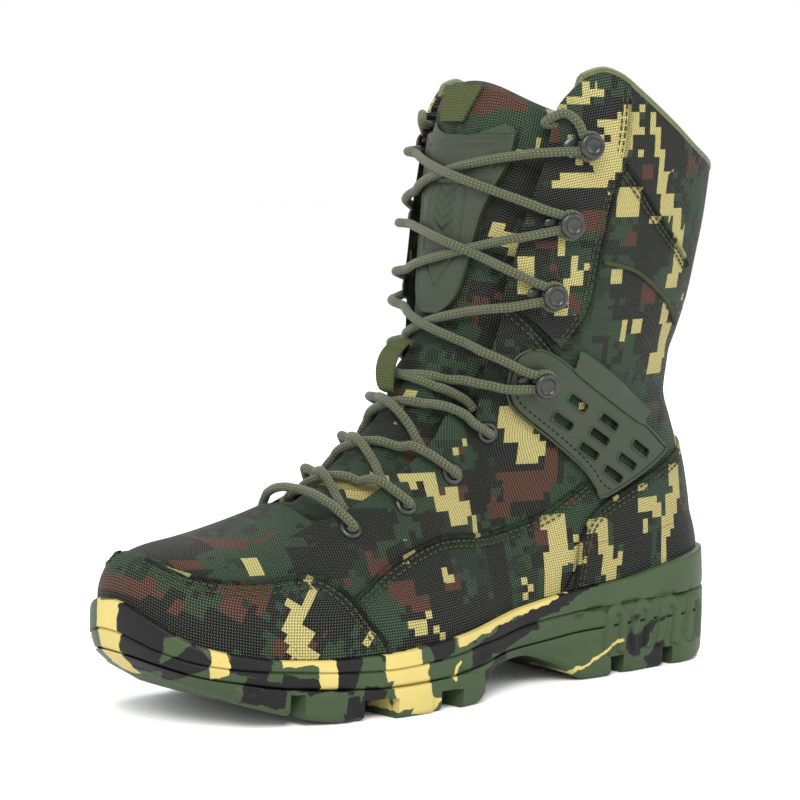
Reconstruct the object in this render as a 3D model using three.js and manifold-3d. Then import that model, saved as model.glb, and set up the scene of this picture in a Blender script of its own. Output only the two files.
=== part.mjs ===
// Lace-up field boot, left foot, standing empty on its sole. Millimetres, +Z up.
// X runs from heel to toe and +Y is the outer side of the foot.

import * as THREE from "three";
import Module from "manifold-3d";

const wasm = await Module();
wasm.setup();

// Driving sizes
const LENGTH = 307; // heel to toe over the sole
const BALL_HALF = 52; // half the width of the sole at the ball
const SOLE_HEIGHT = 42; // floor to the sole's edge beside the heel
const HEIGHT = 262; // floor to the peak of the collar
const SHAFT_DEPTH = 146; // back to front of the shaft at the collar
const SHAFT_HALF = 54; // half the width of the shaft at the collar
const HEEL_ROUND = 40; // radius of the heel's outline
const TOE_ROUND = 47; // radius of the toe's outline
const GAP = 0.3; // clearance between pieces that touch
const WALL = 2.4; // wall of the upper
const LIP = 4.2; // wall of the cup that holds the upper
const INSOLE = 4; // thickness of the insole
const TREAD_DEPTH = 8.5; // depth of the channels between the lugs
const TOE_TUCK = 6; // how far the toe's bumper leans forward over the tread
const GROOVE = 1.3; // depth of the grooves round the side of the sole
const TONGUE = 5; // thickness of the padded tongue
const PANEL = 1.2; // thickness of the canvas panels sewn onto the upper
const PLATE = 2; // thickness of the moulded plates
const LACE = 4; // diameter of the lace
const EYELET_HOLE = 6.4; // diameter of the holes punched for the eyelets
const EYELET_RIM = 9.4; // diameter over an eyelet's rim
const EYELET_BORE = 4.4; // diameter of the opening in an eyelet
const HOOK_BASE = 9.2; // diameter of a hook's foot
const HOOK_NECK = 4.8; // diameter of a hook's neck
const HOOK_HEAD = 10.8; // diameter of a hook's head
const HOOK_HEIGHT = 8.4; // height of a hook over its foot
const HOOK_FLARE = 1.2; // height of the cones at a hook's foot and head
const PIPING = 3.4; // diameter of the cord along the collar

// Sole plan, from heel to toe: place as a share of LENGTH, half width and centre line of BALL_HALF
const SOLE_PLAN = [
  { at: 0.0, half: 0.74, centre: 0.0 },
  { at: 0.15, half: 0.735, centre: 0.0 },
  { at: 0.255, half: 0.755, centre: 0.03 },
  { at: 0.345, half: 0.715, centre: 0.08 },
  { at: 0.415, half: 0.725, centre: 0.105 },
  { at: 0.505, half: 0.85, centre: 0.115 },
  { at: 0.615, half: 0.985, centre: 0.075 },
  { at: 0.685, half: 1.0, centre: 0.04 },
  { at: 0.745, half: 0.98, centre: -0.01 },
  { at: 0.84, half: 0.91, centre: -0.08 },
  { at: 1.0, half: 0.91, centre: -0.18 },
];

// Heights along the sole as shares of SOLE_HEIGHT: tread, top of outsole, side groove, footbed, lip
const SOLE_LINES = [
  { at: 0.0, floor: 0.15, split: 0.57, groove: 0.8, bed: 0.71, lip: 1.2 },
  { at: 0.03, floor: 0.05, split: 0.55, groove: 0.78, bed: 0.71, lip: 1.19 },
  { at: 0.08, floor: 0.0, split: 0.53, groove: 0.76, bed: 0.71, lip: 1.16 },
  { at: 0.13, floor: 0.0, split: 0.52, groove: 0.75, bed: 0.71, lip: 1.1 },
  { at: 0.205, floor: 0.0, split: 0.52, groove: 0.74, bed: 0.7, lip: 1.01 },
  { at: 0.3, floor: 0.0, split: 0.51, groove: 0.73, bed: 0.68, lip: 0.96 },
  { at: 0.365, floor: 0.24, split: 0.48, groove: 0.71, bed: 0.65, lip: 0.91 },
  { at: 0.42, floor: 0.345, split: 0.45, groove: 0.67, bed: 0.6, lip: 0.86 },
  { at: 0.48, floor: 0.33, split: 0.42, groove: 0.61, bed: 0.54, lip: 0.8 },
  { at: 0.535, floor: 0.0, split: 0.36, groove: 0.56, bed: 0.48, lip: 0.73 },
  { at: 0.586, floor: 0.0, split: 0.32, groove: 0.52, bed: 0.45, lip: 0.69 },
  { at: 0.686, floor: 0.0, split: 0.3, groove: 0.475, bed: 0.43, lip: 0.63 },
  { at: 0.756, floor: 0.01, split: 0.325, groove: 0.495, bed: 0.43, lip: 0.62 },
  { at: 0.83, floor: 0.115, split: 0.375, groove: 0.54, bed: 0.475, lip: 0.65 },
  { at: 0.89, floor: 0.245, split: 0.455, groove: 0.595, bed: 0.56, lip: 0.73 },
  { at: 0.94, floor: 0.36, split: 0.525, groove: 0.665, bed: 0.63, lip: 0.83 },
  { at: 0.977, floor: 0.46, split: 0.62, groove: 0.78, bed: 0.71, lip: 1.03 },
  { at: 1.0, floor: 0.54, split: 0.7, groove: 0.92, bed: 0.76, lip: 1.22 },
];

// Ridge of the foot over its centre line: place as a share of LENGTH, height as a share of HEIGHT
const RIDGE = [
  { at: 0.0, top: 0.25 },
  { at: 0.285, top: 0.36 },
  { at: 0.435, top: 0.5 },
  { at: 0.51, top: 0.575 },
  { at: 0.541, top: 0.5 },
  { at: 0.576, top: 0.447 },
  { at: 0.629, top: 0.393 },
  { at: 0.684, top: 0.351 },
  { at: 0.749, top: 0.32 },
  { at: 0.806, top: 0.299 },
  { at: 0.868, top: 0.281 },
  { at: 0.92, top: 0.271 },
  { at: 0.958, top: 0.257 },
  { at: 0.975, top: 0.241 },
  { at: 0.985, top: 0.208 },
];

// Foot form: half width as a share of the sole's own half width, and fullness of its arch
const FOOT = [
  { at: 0.0, half: 0.0, arch: 2.2 },
  { at: 0.15, half: 0.3, arch: 2.2 },
  { at: 0.3, half: 0.86, arch: 2.1 },
  { at: 0.5, half: 0.9, arch: 2.0 },
  { at: 0.7, half: 0.93, arch: 2.05 },
  { at: 0.85, half: 0.94, arch: 2.3 },
  { at: 1.0, half: 0.95, arch: 2.5 },
];

// Shaft by height, a share of HEIGHT: back line and front line of SHAFT_DEPTH, half width of SHAFT_HALF
const SHAFT = [
  { at: 0.0, back: 0.03, front: 0.92, half: 0.64 },
  { at: 0.19, back: 0.04, front: 0.96, half: 0.665 },
  { at: 0.27, back: 0.056, front: 0.985, half: 0.67 },
  { at: 0.36, back: 0.091, front: 1.015, half: 0.67 },
  { at: 0.42, back: 0.131, front: 1.045, half: 0.675 },
  { at: 0.47, back: 0.161, front: 1.065, half: 0.7 },
  { at: 0.525, back: 0.151, front: 1.07, half: 0.745 },
  { at: 0.575, back: 0.124, front: 1.058, half: 0.79 },
  { at: 0.63, back: 0.093, front: 1.046, half: 0.84 },
  { at: 0.7, back: 0.066, front: 1.026, half: 0.885 },
  { at: 0.765, back: 0.044, front: 1.006, half: 0.925 },
  { at: 0.82, back: 0.033, front: 0.986, half: 0.955 },
  { at: 0.89, back: 0.02, front: 0.961, half: 0.985 },
  { at: 1.0, back: 0.0, front: 0.921, half: 1.0 },
];

// Collar edge along the shaft's depth, from back to front, as a share of HEIGHT
const COLLAR = [
  { at: 0.0, top: 0.813 },
  { at: 0.04, top: 0.832 },
  { at: 0.25, top: 0.876 },
  { at: 0.39, top: 0.92 },
  { at: 0.53, top: 0.968 },
  { at: 0.61, top: 0.994 },
  { at: 0.67, top: 1.003 },
  { at: 0.73, top: 0.995 },
  { at: 0.79, top: 0.968 },
  { at: 0.84, top: 0.94 },
  { at: 1.0, top: 0.92 },
];

// Throat: rounded foot of the opening, then half the opening between the facings, by height
const THROAT_FOOT = [
  { at: 0.322, half: 0.0 },
  { at: 0.317, half: 0.2 },
  { at: 0.307, half: 0.33 },
  { at: 0.302, half: 0.41 },
];
const THROAT = [
  { at: 0.31, half: 0.445 },
  { at: 0.35, half: 0.465 },
  { at: 0.45, half: 0.47 },
  { at: 0.5, half: 0.5 },
  { at: 0.565, half: 0.575 },
  { at: 0.637, half: 0.63 },
  { at: 0.71, half: 0.69 },
  { at: 0.79, half: 0.745 },
  { at: 0.855, half: 0.8 },
  { at: 1.1, half: 0.88 },
];

// Fasteners from toe to collar: place as a share of LENGTH, height as a share of HEIGHT,
// and how far above it a lace comes out from under the facing
const EYELETS = [
  { at: 0.694, rise: 0.289, leaves: 0.033 },
  { at: 0.607, rise: 0.32, leaves: 0.041 },
  { at: 0.526, rise: 0.362, leaves: 0.052 },
  { at: 0.45, rise: 0.421, leaves: 0.058 },
];
const HOOKS = [
  { at: 0.388, rise: 0.504 },
  { at: 0.383, rise: 0.645 },
  { at: 0.363, rise: 0.76 },
  { at: 0.339, rise: 0.885 },
];

// Outlines of the panels sewn onto the upper, seen from the side
const TOE_CAP = [
  { at: 0.957, rise: 0.3 },
  { at: 0.956, rise: 0.254 },
  { at: 0.948, rise: 0.245 },
  { at: 0.935, rise: 0.237 },
  { at: 0.895, rise: 0.225 },
  { at: 0.843, rise: 0.22 },
  { at: 0.801, rise: 0.223 },
  { at: 0.765, rise: 0.222 },
  { at: 0.738, rise: 0.203 },
  { at: 0.72, rise: 0.179 },
  { at: 0.703, rise: 0.147 },
  { at: 0.683, rise: 0.114 },
  { at: 0.668, rise: 0.06 },
  { at: 1.05, rise: 0.06 },
  { at: 1.05, rise: 0.3 },
];
const COUNTER = [
  { at: 0.317, rise: 0.1 },
  { at: 0.317, rise: 0.19 },
  { at: 0.312, rise: 0.229 },
  { at: 0.296, rise: 0.261 },
  { at: 0.273, rise: 0.282 },
  { at: 0.241, rise: 0.299 },
  { at: 0.203, rise: 0.316 },
  { at: 0.151, rise: 0.337 },
  { at: 0.089, rise: 0.362 },
  { at: -0.05, rise: 0.4 },
  { at: -0.05, rise: 0.1 },
];
const FACING = [
  { at: 0.267, rise: 1.05 },
  { at: 0.268, rise: 0.96 },
  { at: 0.27, rise: 0.915 },
  { at: 0.277, rise: 0.86 },
  { at: 0.293, rise: 0.777 },
  { at: 0.304, rise: 0.72 },
  { at: 0.315, rise: 0.63 },
  { at: 0.328, rise: 0.595 },
  { at: 0.355, rise: 0.555 },
  { at: 0.41, rise: 0.61 },
  { at: 0.52, rise: 0.68 },
  { at: 0.52, rise: 1.05 },
];

// Outline of the slotted ankle plate, seen from the side
const ANKLE_PLATE = [
  { at: 0.396, rise: 0.555 },
  { at: 0.368, rise: 0.544 },
  { at: 0.315, rise: 0.505 },
  { at: 0.205, rise: 0.43 },
  { at: 0.147, rise: 0.38 },
  { at: 0.147, rise: 0.364 },
  { at: 0.262, rise: 0.306 },
  { at: 0.277, rise: 0.318 },
  { at: 0.3, rise: 0.352 },
  { at: 0.354, rise: 0.404 },
  { at: 0.412, rise: 0.455 },
  { at: 0.427, rise: 0.479 },
  { at: 0.429, rise: 0.5 },
  { at: 0.425, rise: 0.535 },
  { at: 0.414, rise: 0.55 },
];
// Slots of the plate: distance down the plate and across it from its first slot, in slot pitches
const SLOTS = [
  { down: 0, across: 0 },
  { down: -0.1, across: 1.25 },
  { down: 1.03, across: -0.2 },
  { down: 0.97, across: 0.76 },
  { down: 0.88, across: 1.75 },
  { down: 2.2, across: -0.1 },
  { down: 1.98, across: 0.97 },
  { down: 1.76, across: 2.0 },
];
const SLOT_LONG = 12.5;
const SLOT_WIDE = 4.6;
const SLOT_PITCH_DOWN = 20.3;
const SLOT_PITCH_ACROSS = 8.3;
const SLOT_SLOPE = 0.558; // angle of the slots below the level, in radians
const FIRST_SLOT = { at: 0.3195, rise: 0.465 };

// Half width of the moulded plate on the tongue, a share of SHAFT_HALF, by height
const TONGUE_PLATE = [
  { at: 0.612, half: 0.06 },
  { at: 0.618, half: 0.16 },
  { at: 0.635, half: 0.26 },
  { at: 0.655, half: 0.31 },
  { at: 0.71, half: 0.375 },
  { at: 0.775, half: 0.43 },
  { at: 0.815, half: 0.5 },
  { at: 0.86, half: 0.59 },
  { at: 0.9, half: 0.62 },
  { at: 0.918, half: 0.58 },
  { at: 0.925, half: 0.5 },
];

// Stations between the round heel and the round toe, as shares of LENGTH
const WAIST_STATIONS = [0.165, 0.23, 0.3, 0.365, 0.42, 0.48, 0.535, 0.586, 0.636, 0.686, 0.756, 0.8];
const HEEL_STEPS = 5;
const TOE_STEPS = 6;
const ROWS = 14; // rows of the upper above the lip

// Smooth reading of one column of a table, without overshoot
function read(table, column, at) {
  const last = table.length - 1;
  let i = 0;
  while (i < last - 1 && at > table[i + 1].at) {
    i += 1;
  }
  const secant = (k) => (table[k + 1][column] - table[k][column]) / (table[k + 1].at - table[k].at);
  const slope = (k) => {
    if (k === 0) {
      return secant(0);
    }
    if (k === last) {
      return secant(last - 1);
    }
    const before = secant(k - 1);
    const after = secant(k);
    return before * after <= 0 ? 0 : (2 * before * after) / (before + after);
  };
  const span = table[i + 1].at - table[i].at;
  const t = THREE.MathUtils.clamp((at - table[i].at) / span, 0, 1);
  const rise = t * t * (3 - 2 * t);
  const from = table[i][column] * (1 - rise) + table[i + 1][column] * rise;
  return from + span * (t * (1 - t) * (1 - t) * slope(i) - t * t * (1 - t) * slope(i + 1));
}

const smooth = THREE.MathUtils.smoothstep;
const mix = THREE.MathUtils.lerp;

// Heights of the sole at a place along it
const soleLine = (column) => (x) => read(SOLE_LINES, column, x / LENGTH) * SOLE_HEIGHT;
const floorLine = soleLine("floor");
const splitLine = soleLine("split");
const grooveLine = soleLine("groove");
const bedLine = soleLine("bed");
const lipLine = soleLine("lip");

// Plan of the sole, drawn in by an inset
const centreLine = (x) => read(SOLE_PLAN, "centre", x / LENGTH) * BALL_HALF;

function planHalf(x, inset) {
  const wide = read(SOLE_PLAN, "half", x / LENGTH) * BALL_HALF - inset;
  const intoHeel = Math.max(0, (HEEL_ROUND - x) / (HEEL_ROUND - inset));
  const intoToe = Math.max(0, (x - LENGTH + TOE_ROUND) / (TOE_ROUND - inset));
  const end = Math.min(1, Math.max(intoHeel, intoToe));
  return wide * Math.sqrt(1 - end * end);
}

// Stations along one side, from heel tip to toe tip
const SIDE_STEPS = HEEL_STEPS + WAIST_STATIONS.length + 1 + TOE_STEPS;

function stationX(step, inset) {
  if (step <= HEEL_STEPS) {
    const angle = (step / HEEL_STEPS) * (Math.PI / 2);
    return HEEL_ROUND - (HEEL_ROUND - inset) * Math.cos(angle);
  }
  const waist = step - HEEL_STEPS;
  if (waist <= WAIST_STATIONS.length) {
    return WAIST_STATIONS[waist - 1] * LENGTH;
  }
  const angle = ((step - SIDE_STEPS + TOE_STEPS) / TOE_STEPS) * (Math.PI / 2);
  return LENGTH - TOE_ROUND + (TOE_ROUND - inset) * Math.sin(angle);
}

// Places around the boot: heel tip, outer side, toe tip, inner side
const LOOP = Array.from({ length: 2 * SIDE_STEPS }, (_, k) =>
  k <= SIDE_STEPS ? { step: k, side: 1 } : { step: 2 * SIDE_STEPS - k, side: -1 },
);

// Ring around the sole at an inset, at the height that a function of x gives
function soleRing(inset, height, tuck = 0) {
  return LOOP.map(({ step, side }) => {
    const drawn = inset + tuck * smooth(stationX(step, 0), LENGTH - TOE_ROUND * 1.3, LENGTH);
    const x = stationX(step, drawn);
    return new THREE.Vector3(x, centreLine(x) + side * planHalf(x, drawn), height(x));
  });
}

// Ring drawn in from the sole's outline towards its spine: share 0 is the spine itself
function innerRing(share, height) {
  return LOOP.map(({ step, side }) => {
    const edge = stationX(step, 0);
    const spine = THREE.MathUtils.clamp(edge, HEEL_ROUND, LENGTH - TOE_ROUND);
    const x = mix(spine, edge, share);
    const y = mix(centreLine(spine), centreLine(edge) + side * planHalf(edge, 0), share);
    return new THREE.Vector3(x, y, height(x));
  });
}

// Closed mesh from a list of triangles given as points
function closedMesh(triangles) {
  const places = new Map();
  const points = [];
  const index = [];
  const place = (p) => {
    const key = `${p.x.toFixed(3)},${p.y.toFixed(3)},${p.z.toFixed(3)}`;
    if (!places.has(key)) {
      places.set(key, points.length / 3);
      points.push(p.x, p.y, p.z);
    }
    return places.get(key);
  };
  for (const triangle of triangles) {
    const [a, b, c] = triangle.map(place);
    if (a !== b && b !== c && a !== c) {
      index.push(a, b, c);
    }
  }
  return new wasm.Mesh({
    numProp: 3,
    vertProperties: new Float32Array(points),
    triVerts: new Uint32Array(index),
  });
}

// Solid from triangles, turned inside out if it came out that way
function solidOf(triangles) {
  const solid = new wasm.Manifold(closedMesh(triangles));
  if (solid.volume() > 0) {
    return solid;
  }
  return new wasm.Manifold(closedMesh(triangles.map(([a, b, c]) => [a, c, b])));
}

function geometryOf(solid) {
  const mesh = solid.getMesh();
  const geometry = new THREE.BufferGeometry();
  geometry.setAttribute("position", new THREE.BufferAttribute(mesh.vertProperties.slice(), 3));
  geometry.setIndex(new THREE.BufferAttribute(mesh.triVerts.slice(), 1));
  geometry.computeVertexNormals();
  return geometry;
}

// The largest body of a solid, without the crumbs that a cut can leave
const largest = (solid) => solid.decompose().sort((a, b) => b.volume() - a.volume())[0];

// Band of triangles between two rows of points, each four split across its shorter diagonal
function bridge(triangles, lower, upper, closed) {
  const count = lower.length;
  for (let k = 0; k < (closed ? count : count - 1); k += 1) {
    const next = (k + 1) % count;
    if (lower[k].distanceTo(upper[next]) <= lower[next].distanceTo(upper[k])) {
      triangles.push([lower[k], lower[next], upper[next]]);
      triangles.push([lower[k], upper[next], upper[k]]);
    } else {
      triangles.push([lower[k], lower[next], upper[k]]);
      triangles.push([lower[next], upper[next], upper[k]]);
    }
  }
}

// Solid from rings that start and end on the spine, or come back to the first ring
function loft(rings, comesBack = false) {
  const triangles = [];
  for (let i = 0; i < rings.length - 1; i += 1) {
    bridge(triangles, rings[i], rings[i + 1], true);
  }
  if (comesBack) {
    bridge(triangles, rings[rings.length - 1], rings[0], true);
  }
  return solidOf(triangles);
}

// Solid between two sheets of points, rows by columns, closed along all four edges
function slab(outer, inner) {
  const triangles = [];
  const last = outer.length - 1;
  for (let i = 0; i < last; i += 1) {
    bridge(triangles, outer[i], outer[i + 1], false);
    bridge(triangles, inner[i + 1], inner[i], false);
  }
  bridge(triangles, inner[0], outer[0], false);
  bridge(triangles, outer[last], inner[last], false);
  const side = (sheet, column) => sheet.map((row) => row[column]);
  const width = outer[0].length - 1;
  bridge(triangles, side(outer, 0), side(inner, 0), false);
  bridge(triangles, side(inner, width), side(outer, width), false);
  return solidOf(triangles);
}

// Prism of an outline of [a, b] pairs, pushed from one plane to another
function prism(drawn, from, to, point) {
  const turned = THREE.ShapeUtils.area(drawn.map(([a, b]) => new THREE.Vector2(a, b))) < 0;
  const outline = turned ? [...drawn].reverse() : drawn;
  const shape = outline.map(([a, b]) => new THREE.Vector2(a, b));
  const faces = THREE.ShapeUtils.triangulateShape(shape, []);
  const triangles = [];
  const near = outline.map(([a, b]) => point(a, b, from));
  const far = outline.map(([a, b]) => point(a, b, to));
  for (const [a, b, c] of faces) {
    triangles.push([near[a], near[b], near[c]]);
    triangles.push([far[a], far[c], far[b]]);
  }
  bridge(triangles, far, near, true);
  return solidOf(triangles);
}

const throughY = (x, z, y) => new THREE.Vector3(x, y, z);
const throughX = (y, z, x) => new THREE.Vector3(x, y, z);
const throughZ = (x, y, z) => new THREE.Vector3(x, y, z);

// Forms of the upper: half width of foot and shaft at a place along and a height
function footHalf(x, z) {
  const base = lipLine(x);
  const top = read(RIDGE, "top", x / LENGTH) * HEIGHT;
  if (z >= top) {
    return 0;
  }
  const arch = read(FOOT, "arch", x / LENGTH);
  const rise = Math.max(0, (z - base) / (top - base));
  const wide = planHalf(x, LIP + GAP) * read(FOOT, "half", x / LENGTH) * 1.06;
  return wide * Math.pow(1 - Math.pow(rise, arch), 1 / arch);
}

const shaftBack = (z) => read(SHAFT, "back", z / HEIGHT) * SHAFT_DEPTH;
const shaftFront = (z) => read(SHAFT, "front", z / HEIGHT) * SHAFT_DEPTH;
const SHAFT_FULLNESS = 2.35;

function shaftHalf(x, z) {
  const back = shaftBack(z);
  const front = shaftFront(z);
  const share = Math.abs((2 * x - back - front) / (front - back));
  if (share >= 1) {
    return 0;
  }
  const wide = read(SHAFT, "half", z / HEIGHT) * SHAFT_HALF;
  return wide * Math.pow(1 - Math.pow(share, SHAFT_FULLNESS), 1 / SHAFT_FULLNESS);
}

const BLEND = 7; // sharpness with which foot and shaft flow together
const SEAT = 18; // height over which the upper leaves the line of the lip

function upperHalf(x, z) {
  const free = Math.pow(Math.pow(footHalf(x, z), BLEND) + Math.pow(shaftHalf(x, z), BLEND), 1 / BLEND);
  const seated = planHalf(x, LIP + GAP);
  const leave = smooth(z - lipLine(x), 0, SEAT);
  return mix(Math.min(seated, free + LIP), free, leave);
}

// Centre line of the upper: the sole's own at the lip, drawn to the middle of the leg above it
function upperCentre(x, z) {
  const above = z - lipLine(x);
  return mix(centreLine(x), Math.min(0, centreLine(x)), smooth(above, 5, 45));
}

// Front line of the whole boot: up the toe, along the ridge of the foot and up the shaft
const CROSSOVER = 0.51; // place along the foot where the ridge meets the shaft
const FRONT_TOP = 0.92; // height of the upper's front line
const frontPoints = [];
for (let at = RIDGE[RIDGE.length - 1].at; at > CROSSOVER; at -= 0.004) {
  frontPoints.push(new THREE.Vector2(at * LENGTH, read(RIDGE, "top", at) * HEIGHT));
}
const shoulder = read(RIDGE, "top", CROSSOVER) * HEIGHT;
for (let z = shoulder; z < HEIGHT * FRONT_TOP; z += 2) {
  frontPoints.push(new THREE.Vector2(shaftFront(z), z));
}

function alongLine(points, share) {
  const lengths = [0];
  for (let i = 1; i < points.length; i += 1) {
    lengths.push(lengths[i - 1] + points[i].distanceTo(points[i - 1]));
  }
  const target = share * lengths[lengths.length - 1];
  let i = 1;
  while (i < points.length - 1 && lengths[i] < target) {
    i += 1;
  }
  const t = (target - lengths[i - 1]) / (lengths[i] - lengths[i - 1]);
  return points[i - 1].clone().lerp(points[i], t);
}

// Rows of the upper above the lip, the last one along the collar
const SEATED = LIP + GAP;
const heelTip = stationX(0, SEATED);
const toeTip = stationX(SIDE_STEPS, SEATED);
const rowShare = (step) => (stationX(step, SEATED) - heelTip) / (toeTip - heelTip);
const INSOLE_INSET = SEATED + WALL + 0.8; // the insole's edge lies inside the wall
const LIP_CLEAR = 1; // height of the first row above the lip
const COLLAR_BACK = read(COLLAR, "top", 0) * HEIGHT;
const COLLAR_INNER = 4.5; // how much lower the collar's peak is on the inner side

function upperRow(row) {
  const share = Math.pow(row / ROWS, 1.25);
  const front = alongLine(frontPoints, share);
  const backLow = lipLine(0) + LIP_CLEAR;
  const backHeight = mix(backLow, COLLAR_BACK, share);
  const back = mix(heelTip, shaftBack(backHeight), smooth(backHeight - backLow, 0, SEAT));
  return LOOP.map(({ step, side }) => {
    const u = rowShare(step);
    const x = mix(back, front.x, u);
    const straight = mix(backHeight, front.y, u);
    const onLip = lipLine(mix(heelTip, toeTip, u)) - mix(lipLine(heelTip), lipLine(toeTip), u);
    const onCollar = read(COLLAR, "top", u) * HEIGHT - mix(COLLAR_BACK, HEIGHT * FRONT_TOP, u);
    const lower = side < 0 ? COLLAR_INNER * Math.sin(Math.PI * u) : 0;
    const z = straight + onLip * Math.pow(1 - share, 3) + (onCollar - lower) * Math.pow(share, 5);
    const tip = step === 0 || step === SIDE_STEPS;
    return new THREE.Vector3(x, upperCentre(x, z) + (tip ? 0 : side * upperHalf(x, z)), z);
  });
}

const upperRows = [
  soleRing(SEATED, (x) => bedLine(x) + GAP),
  soleRing(SEATED, (x) => lipLine(x) + LIP_CLEAR / 2),
];
for (let row = 1; row <= ROWS; row += 1) {
  upperRows.push(upperRow(row));
}

// Outward direction at each point of a grid of rows that run round
function gridNormals(rows) {
  const count = rows[0].length;
  return rows.map((row, i) =>
    row.map((point, k) => {
      const below = rows[Math.max(0, i - 1)][k];
      const above = rows[Math.min(rows.length - 1, i + 1)][k];
      const before = row[(k + count - 1) % count];
      const after = row[(k + 1) % count];
      const up = above.clone().sub(below);
      const round = after.clone().sub(before);
      return up.cross(round).normalize();
    }),
  );
}

const upperNormals = gridNormals(upperRows);
const offsetRows = (distance) =>
  upperRows.map((row, i) => row.map((p, k) => p.clone().addScaledVector(upperNormals[i][k], distance)));

// Throat cutter: the opening between the facings, pushed forwards through the front of the boot
const THROAT_BACK = 0.3; // the cutter starts this share of LENGTH from the heel
const throatHalf = (z) => read(THROAT, "half", z / HEIGHT) * SHAFT_HALF;

function throatCutter() {
  const edge = [...THROAT_FOOT, ...THROAT];
  const outer = edge.map(({ at, half }) => [half * SHAFT_HALF, at * HEIGHT]);
  const inner = edge.slice(1).reverse().map(({ at, half }) => [-half * SHAFT_HALF, at * HEIGHT]);
  return prism([...outer, ...inner], LENGTH * THROAT_BACK, LENGTH, throughX);
}

const shell = loft([...offsetRows(0), ...offsetRows(-WALL).reverse()], true);

function makeUpper() {
  let cut = shell.subtract(throatCutter());
  for (const eyelet of EYELETS) {
    for (const side of [1, -1]) {
      cut = cut.subtract(eyeletPunch(eyelet, side));
    }
  }
  return largest(cut);
}

// Tread: channels across the sole, by place along, width and slant
const CHANNELS = [
  { at: 0.131, wide: 6, slant: 4 },
  { at: 0.237, wide: 9, slant: 4 },
  { at: 0.596, wide: 11, slant: -5 },
  { at: 0.713, wide: 14, slant: -5 },
  { at: 0.825, wide: 5, slant: -4 },
];

function channelCutter({ at, wide, slant }, side) {
  const x = at * LENGTH;
  const y = centreLine(x) + side * BALL_HALF * 1.2;
  const mid = centreLine(x);
  const outline = [
    [x - wide / 2, mid],
    [x + wide / 2, mid],
    [x + wide / 2 + slant, y],
    [x - wide / 2 + slant, y],
  ];
  const top = Math.max(floorLine(x - wide / 2), floorLine(x + wide / 2)) + TREAD_DEPTH;
  return prism(outline, -SOLE_HEIGHT, top, throughZ);
}

function makeOutsole() {
  const body = loft([
    innerRing(0, floorLine),
    innerRing(0.5, floorLine),
    soleRing(3, floorLine, TOE_TUCK),
    soleRing(0.7, (x) => floorLine(x) + 2.2, TOE_TUCK),
    soleRing(0, (x) => mix(floorLine(x), splitLine(x), 0.6), TOE_TUCK * 0.6),
    soleRing(0, splitLine, TOE_TUCK * 0.4),
    soleRing(GROOVE, splitLine, TOE_TUCK * 0.4),
    innerRing(0.5, splitLine),
    innerRing(0, splitLine),
  ]);
  let cut = body;
  for (const channel of CHANNELS) {
    for (const side of [1, -1]) {
      cut = cut.subtract(channelCutter(channel, side));
    }
  }
  return cut;
}

function makeMidsole() {
  const base = (x) => splitLine(x) + GAP;
  return loft([
    innerRing(0, base),
    innerRing(0.5, base),
    soleRing(GROOVE, base, TOE_TUCK * 0.4),
    soleRing(0, (x) => base(x) + 1.4, TOE_TUCK * 0.35),
    soleRing(0, (x) => grooveLine(x) - 1, TOE_TUCK * 0.15),
    soleRing(GROOVE, grooveLine, TOE_TUCK * 0.1),
    soleRing(0, (x) => grooveLine(x) + 1, TOE_TUCK * 0.05),
    soleRing(0.9, lipLine),
    soleRing(LIP, lipLine),
    soleRing(LIP, bedLine),
    soleRing(INSOLE_INSET, bedLine),
    innerRing(0.5, bedLine),
    innerRing(0, bedLine),
  ]);
}

function makeInsole() {
  const under = (x) => bedLine(x) + GAP;
  const over = (x) => bedLine(x) + GAP + INSOLE;
  return loft([
    innerRing(0, under),
    innerRing(0.5, under),
    soleRing(INSOLE_INSET, under),
    soleRing(INSOLE_INSET, over),
    innerRing(0.5, over),
    innerRing(0, over),
  ]);
}

// Point on the front of the boot at a height and a distance from its centre line
function frontPoint(y, z) {
  let near = shaftFront(z);
  for (const point of frontPoints) {
    if (point.y <= z) {
      near = Math.min(point.x, LENGTH);
    }
  }
  const deep = (shaftBack(z) + shaftFront(z)) / 2;
  let low = deep;
  let high = Math.max(near, shaftFront(z)) + 4;
  for (let i = 0; i < 40; i += 1) {
    const x = (low + high) / 2;
    if (upperHalf(x, z) > Math.abs(y)) {
      low = x;
    } else {
      high = x;
    }
  }
  return new THREE.Vector3(low, upperCentre(low, z) + y, z);
}

const TONGUE_LOW = 0.3; // lower end of the tongue, a share of HEIGHT
const TONGUE_ROWS = 14;
const TONGUE_COLUMNS = 10;
const TONGUE_SPREAD = 9; // how far the tongue runs under each facing
const TONGUE_DROOP = 0.0075; // fall of its top edge towards the sides, per millimetre squared

function frontNormal(y, z) {
  const step = 1.5;
  const across = frontPoint(y + step, z).sub(frontPoint(y - step, z));
  const up = frontPoint(y, z + step).sub(frontPoint(y, z - step));
  return across.cross(up).normalize();
}

// Sheet under the facings, a little proud of them at the middle
const TONGUE_CLEAR = 3.4; // clearance of the tongue under the wall of the upper
const TONGUE_CROWN = 2.6; // how far its middle stands out between the facings on the foot
const TONGUE_HOLLOW = 1.8; // how far its middle lies back between the facings on the leg

function tongueSunk(y, z) {
  const inOpening = smooth(throatHalf(z) - Math.abs(y), 4, 15) * smooth(z / HEIGHT, 0.325, 0.37);
  const onLeg = smooth(z / HEIGHT, 0.53, 0.64);
  return WALL + TONGUE_CLEAR - mix(TONGUE_CROWN, -TONGUE_HOLLOW, onLeg) * inOpening;
}

function onTongue(y, z, depth) {
  return frontPoint(y, z).addScaledVector(frontNormal(y, z), -tongueSunk(y, z) - depth);
}

// Grid of points from a function of two shares
function grid(rows, columns, point) {
  return Array.from({ length: rows + 1 }, (_, i) =>
    Array.from({ length: columns + 1 }, (__, k) => point(i / rows, k / columns)),
  );
}

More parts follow.
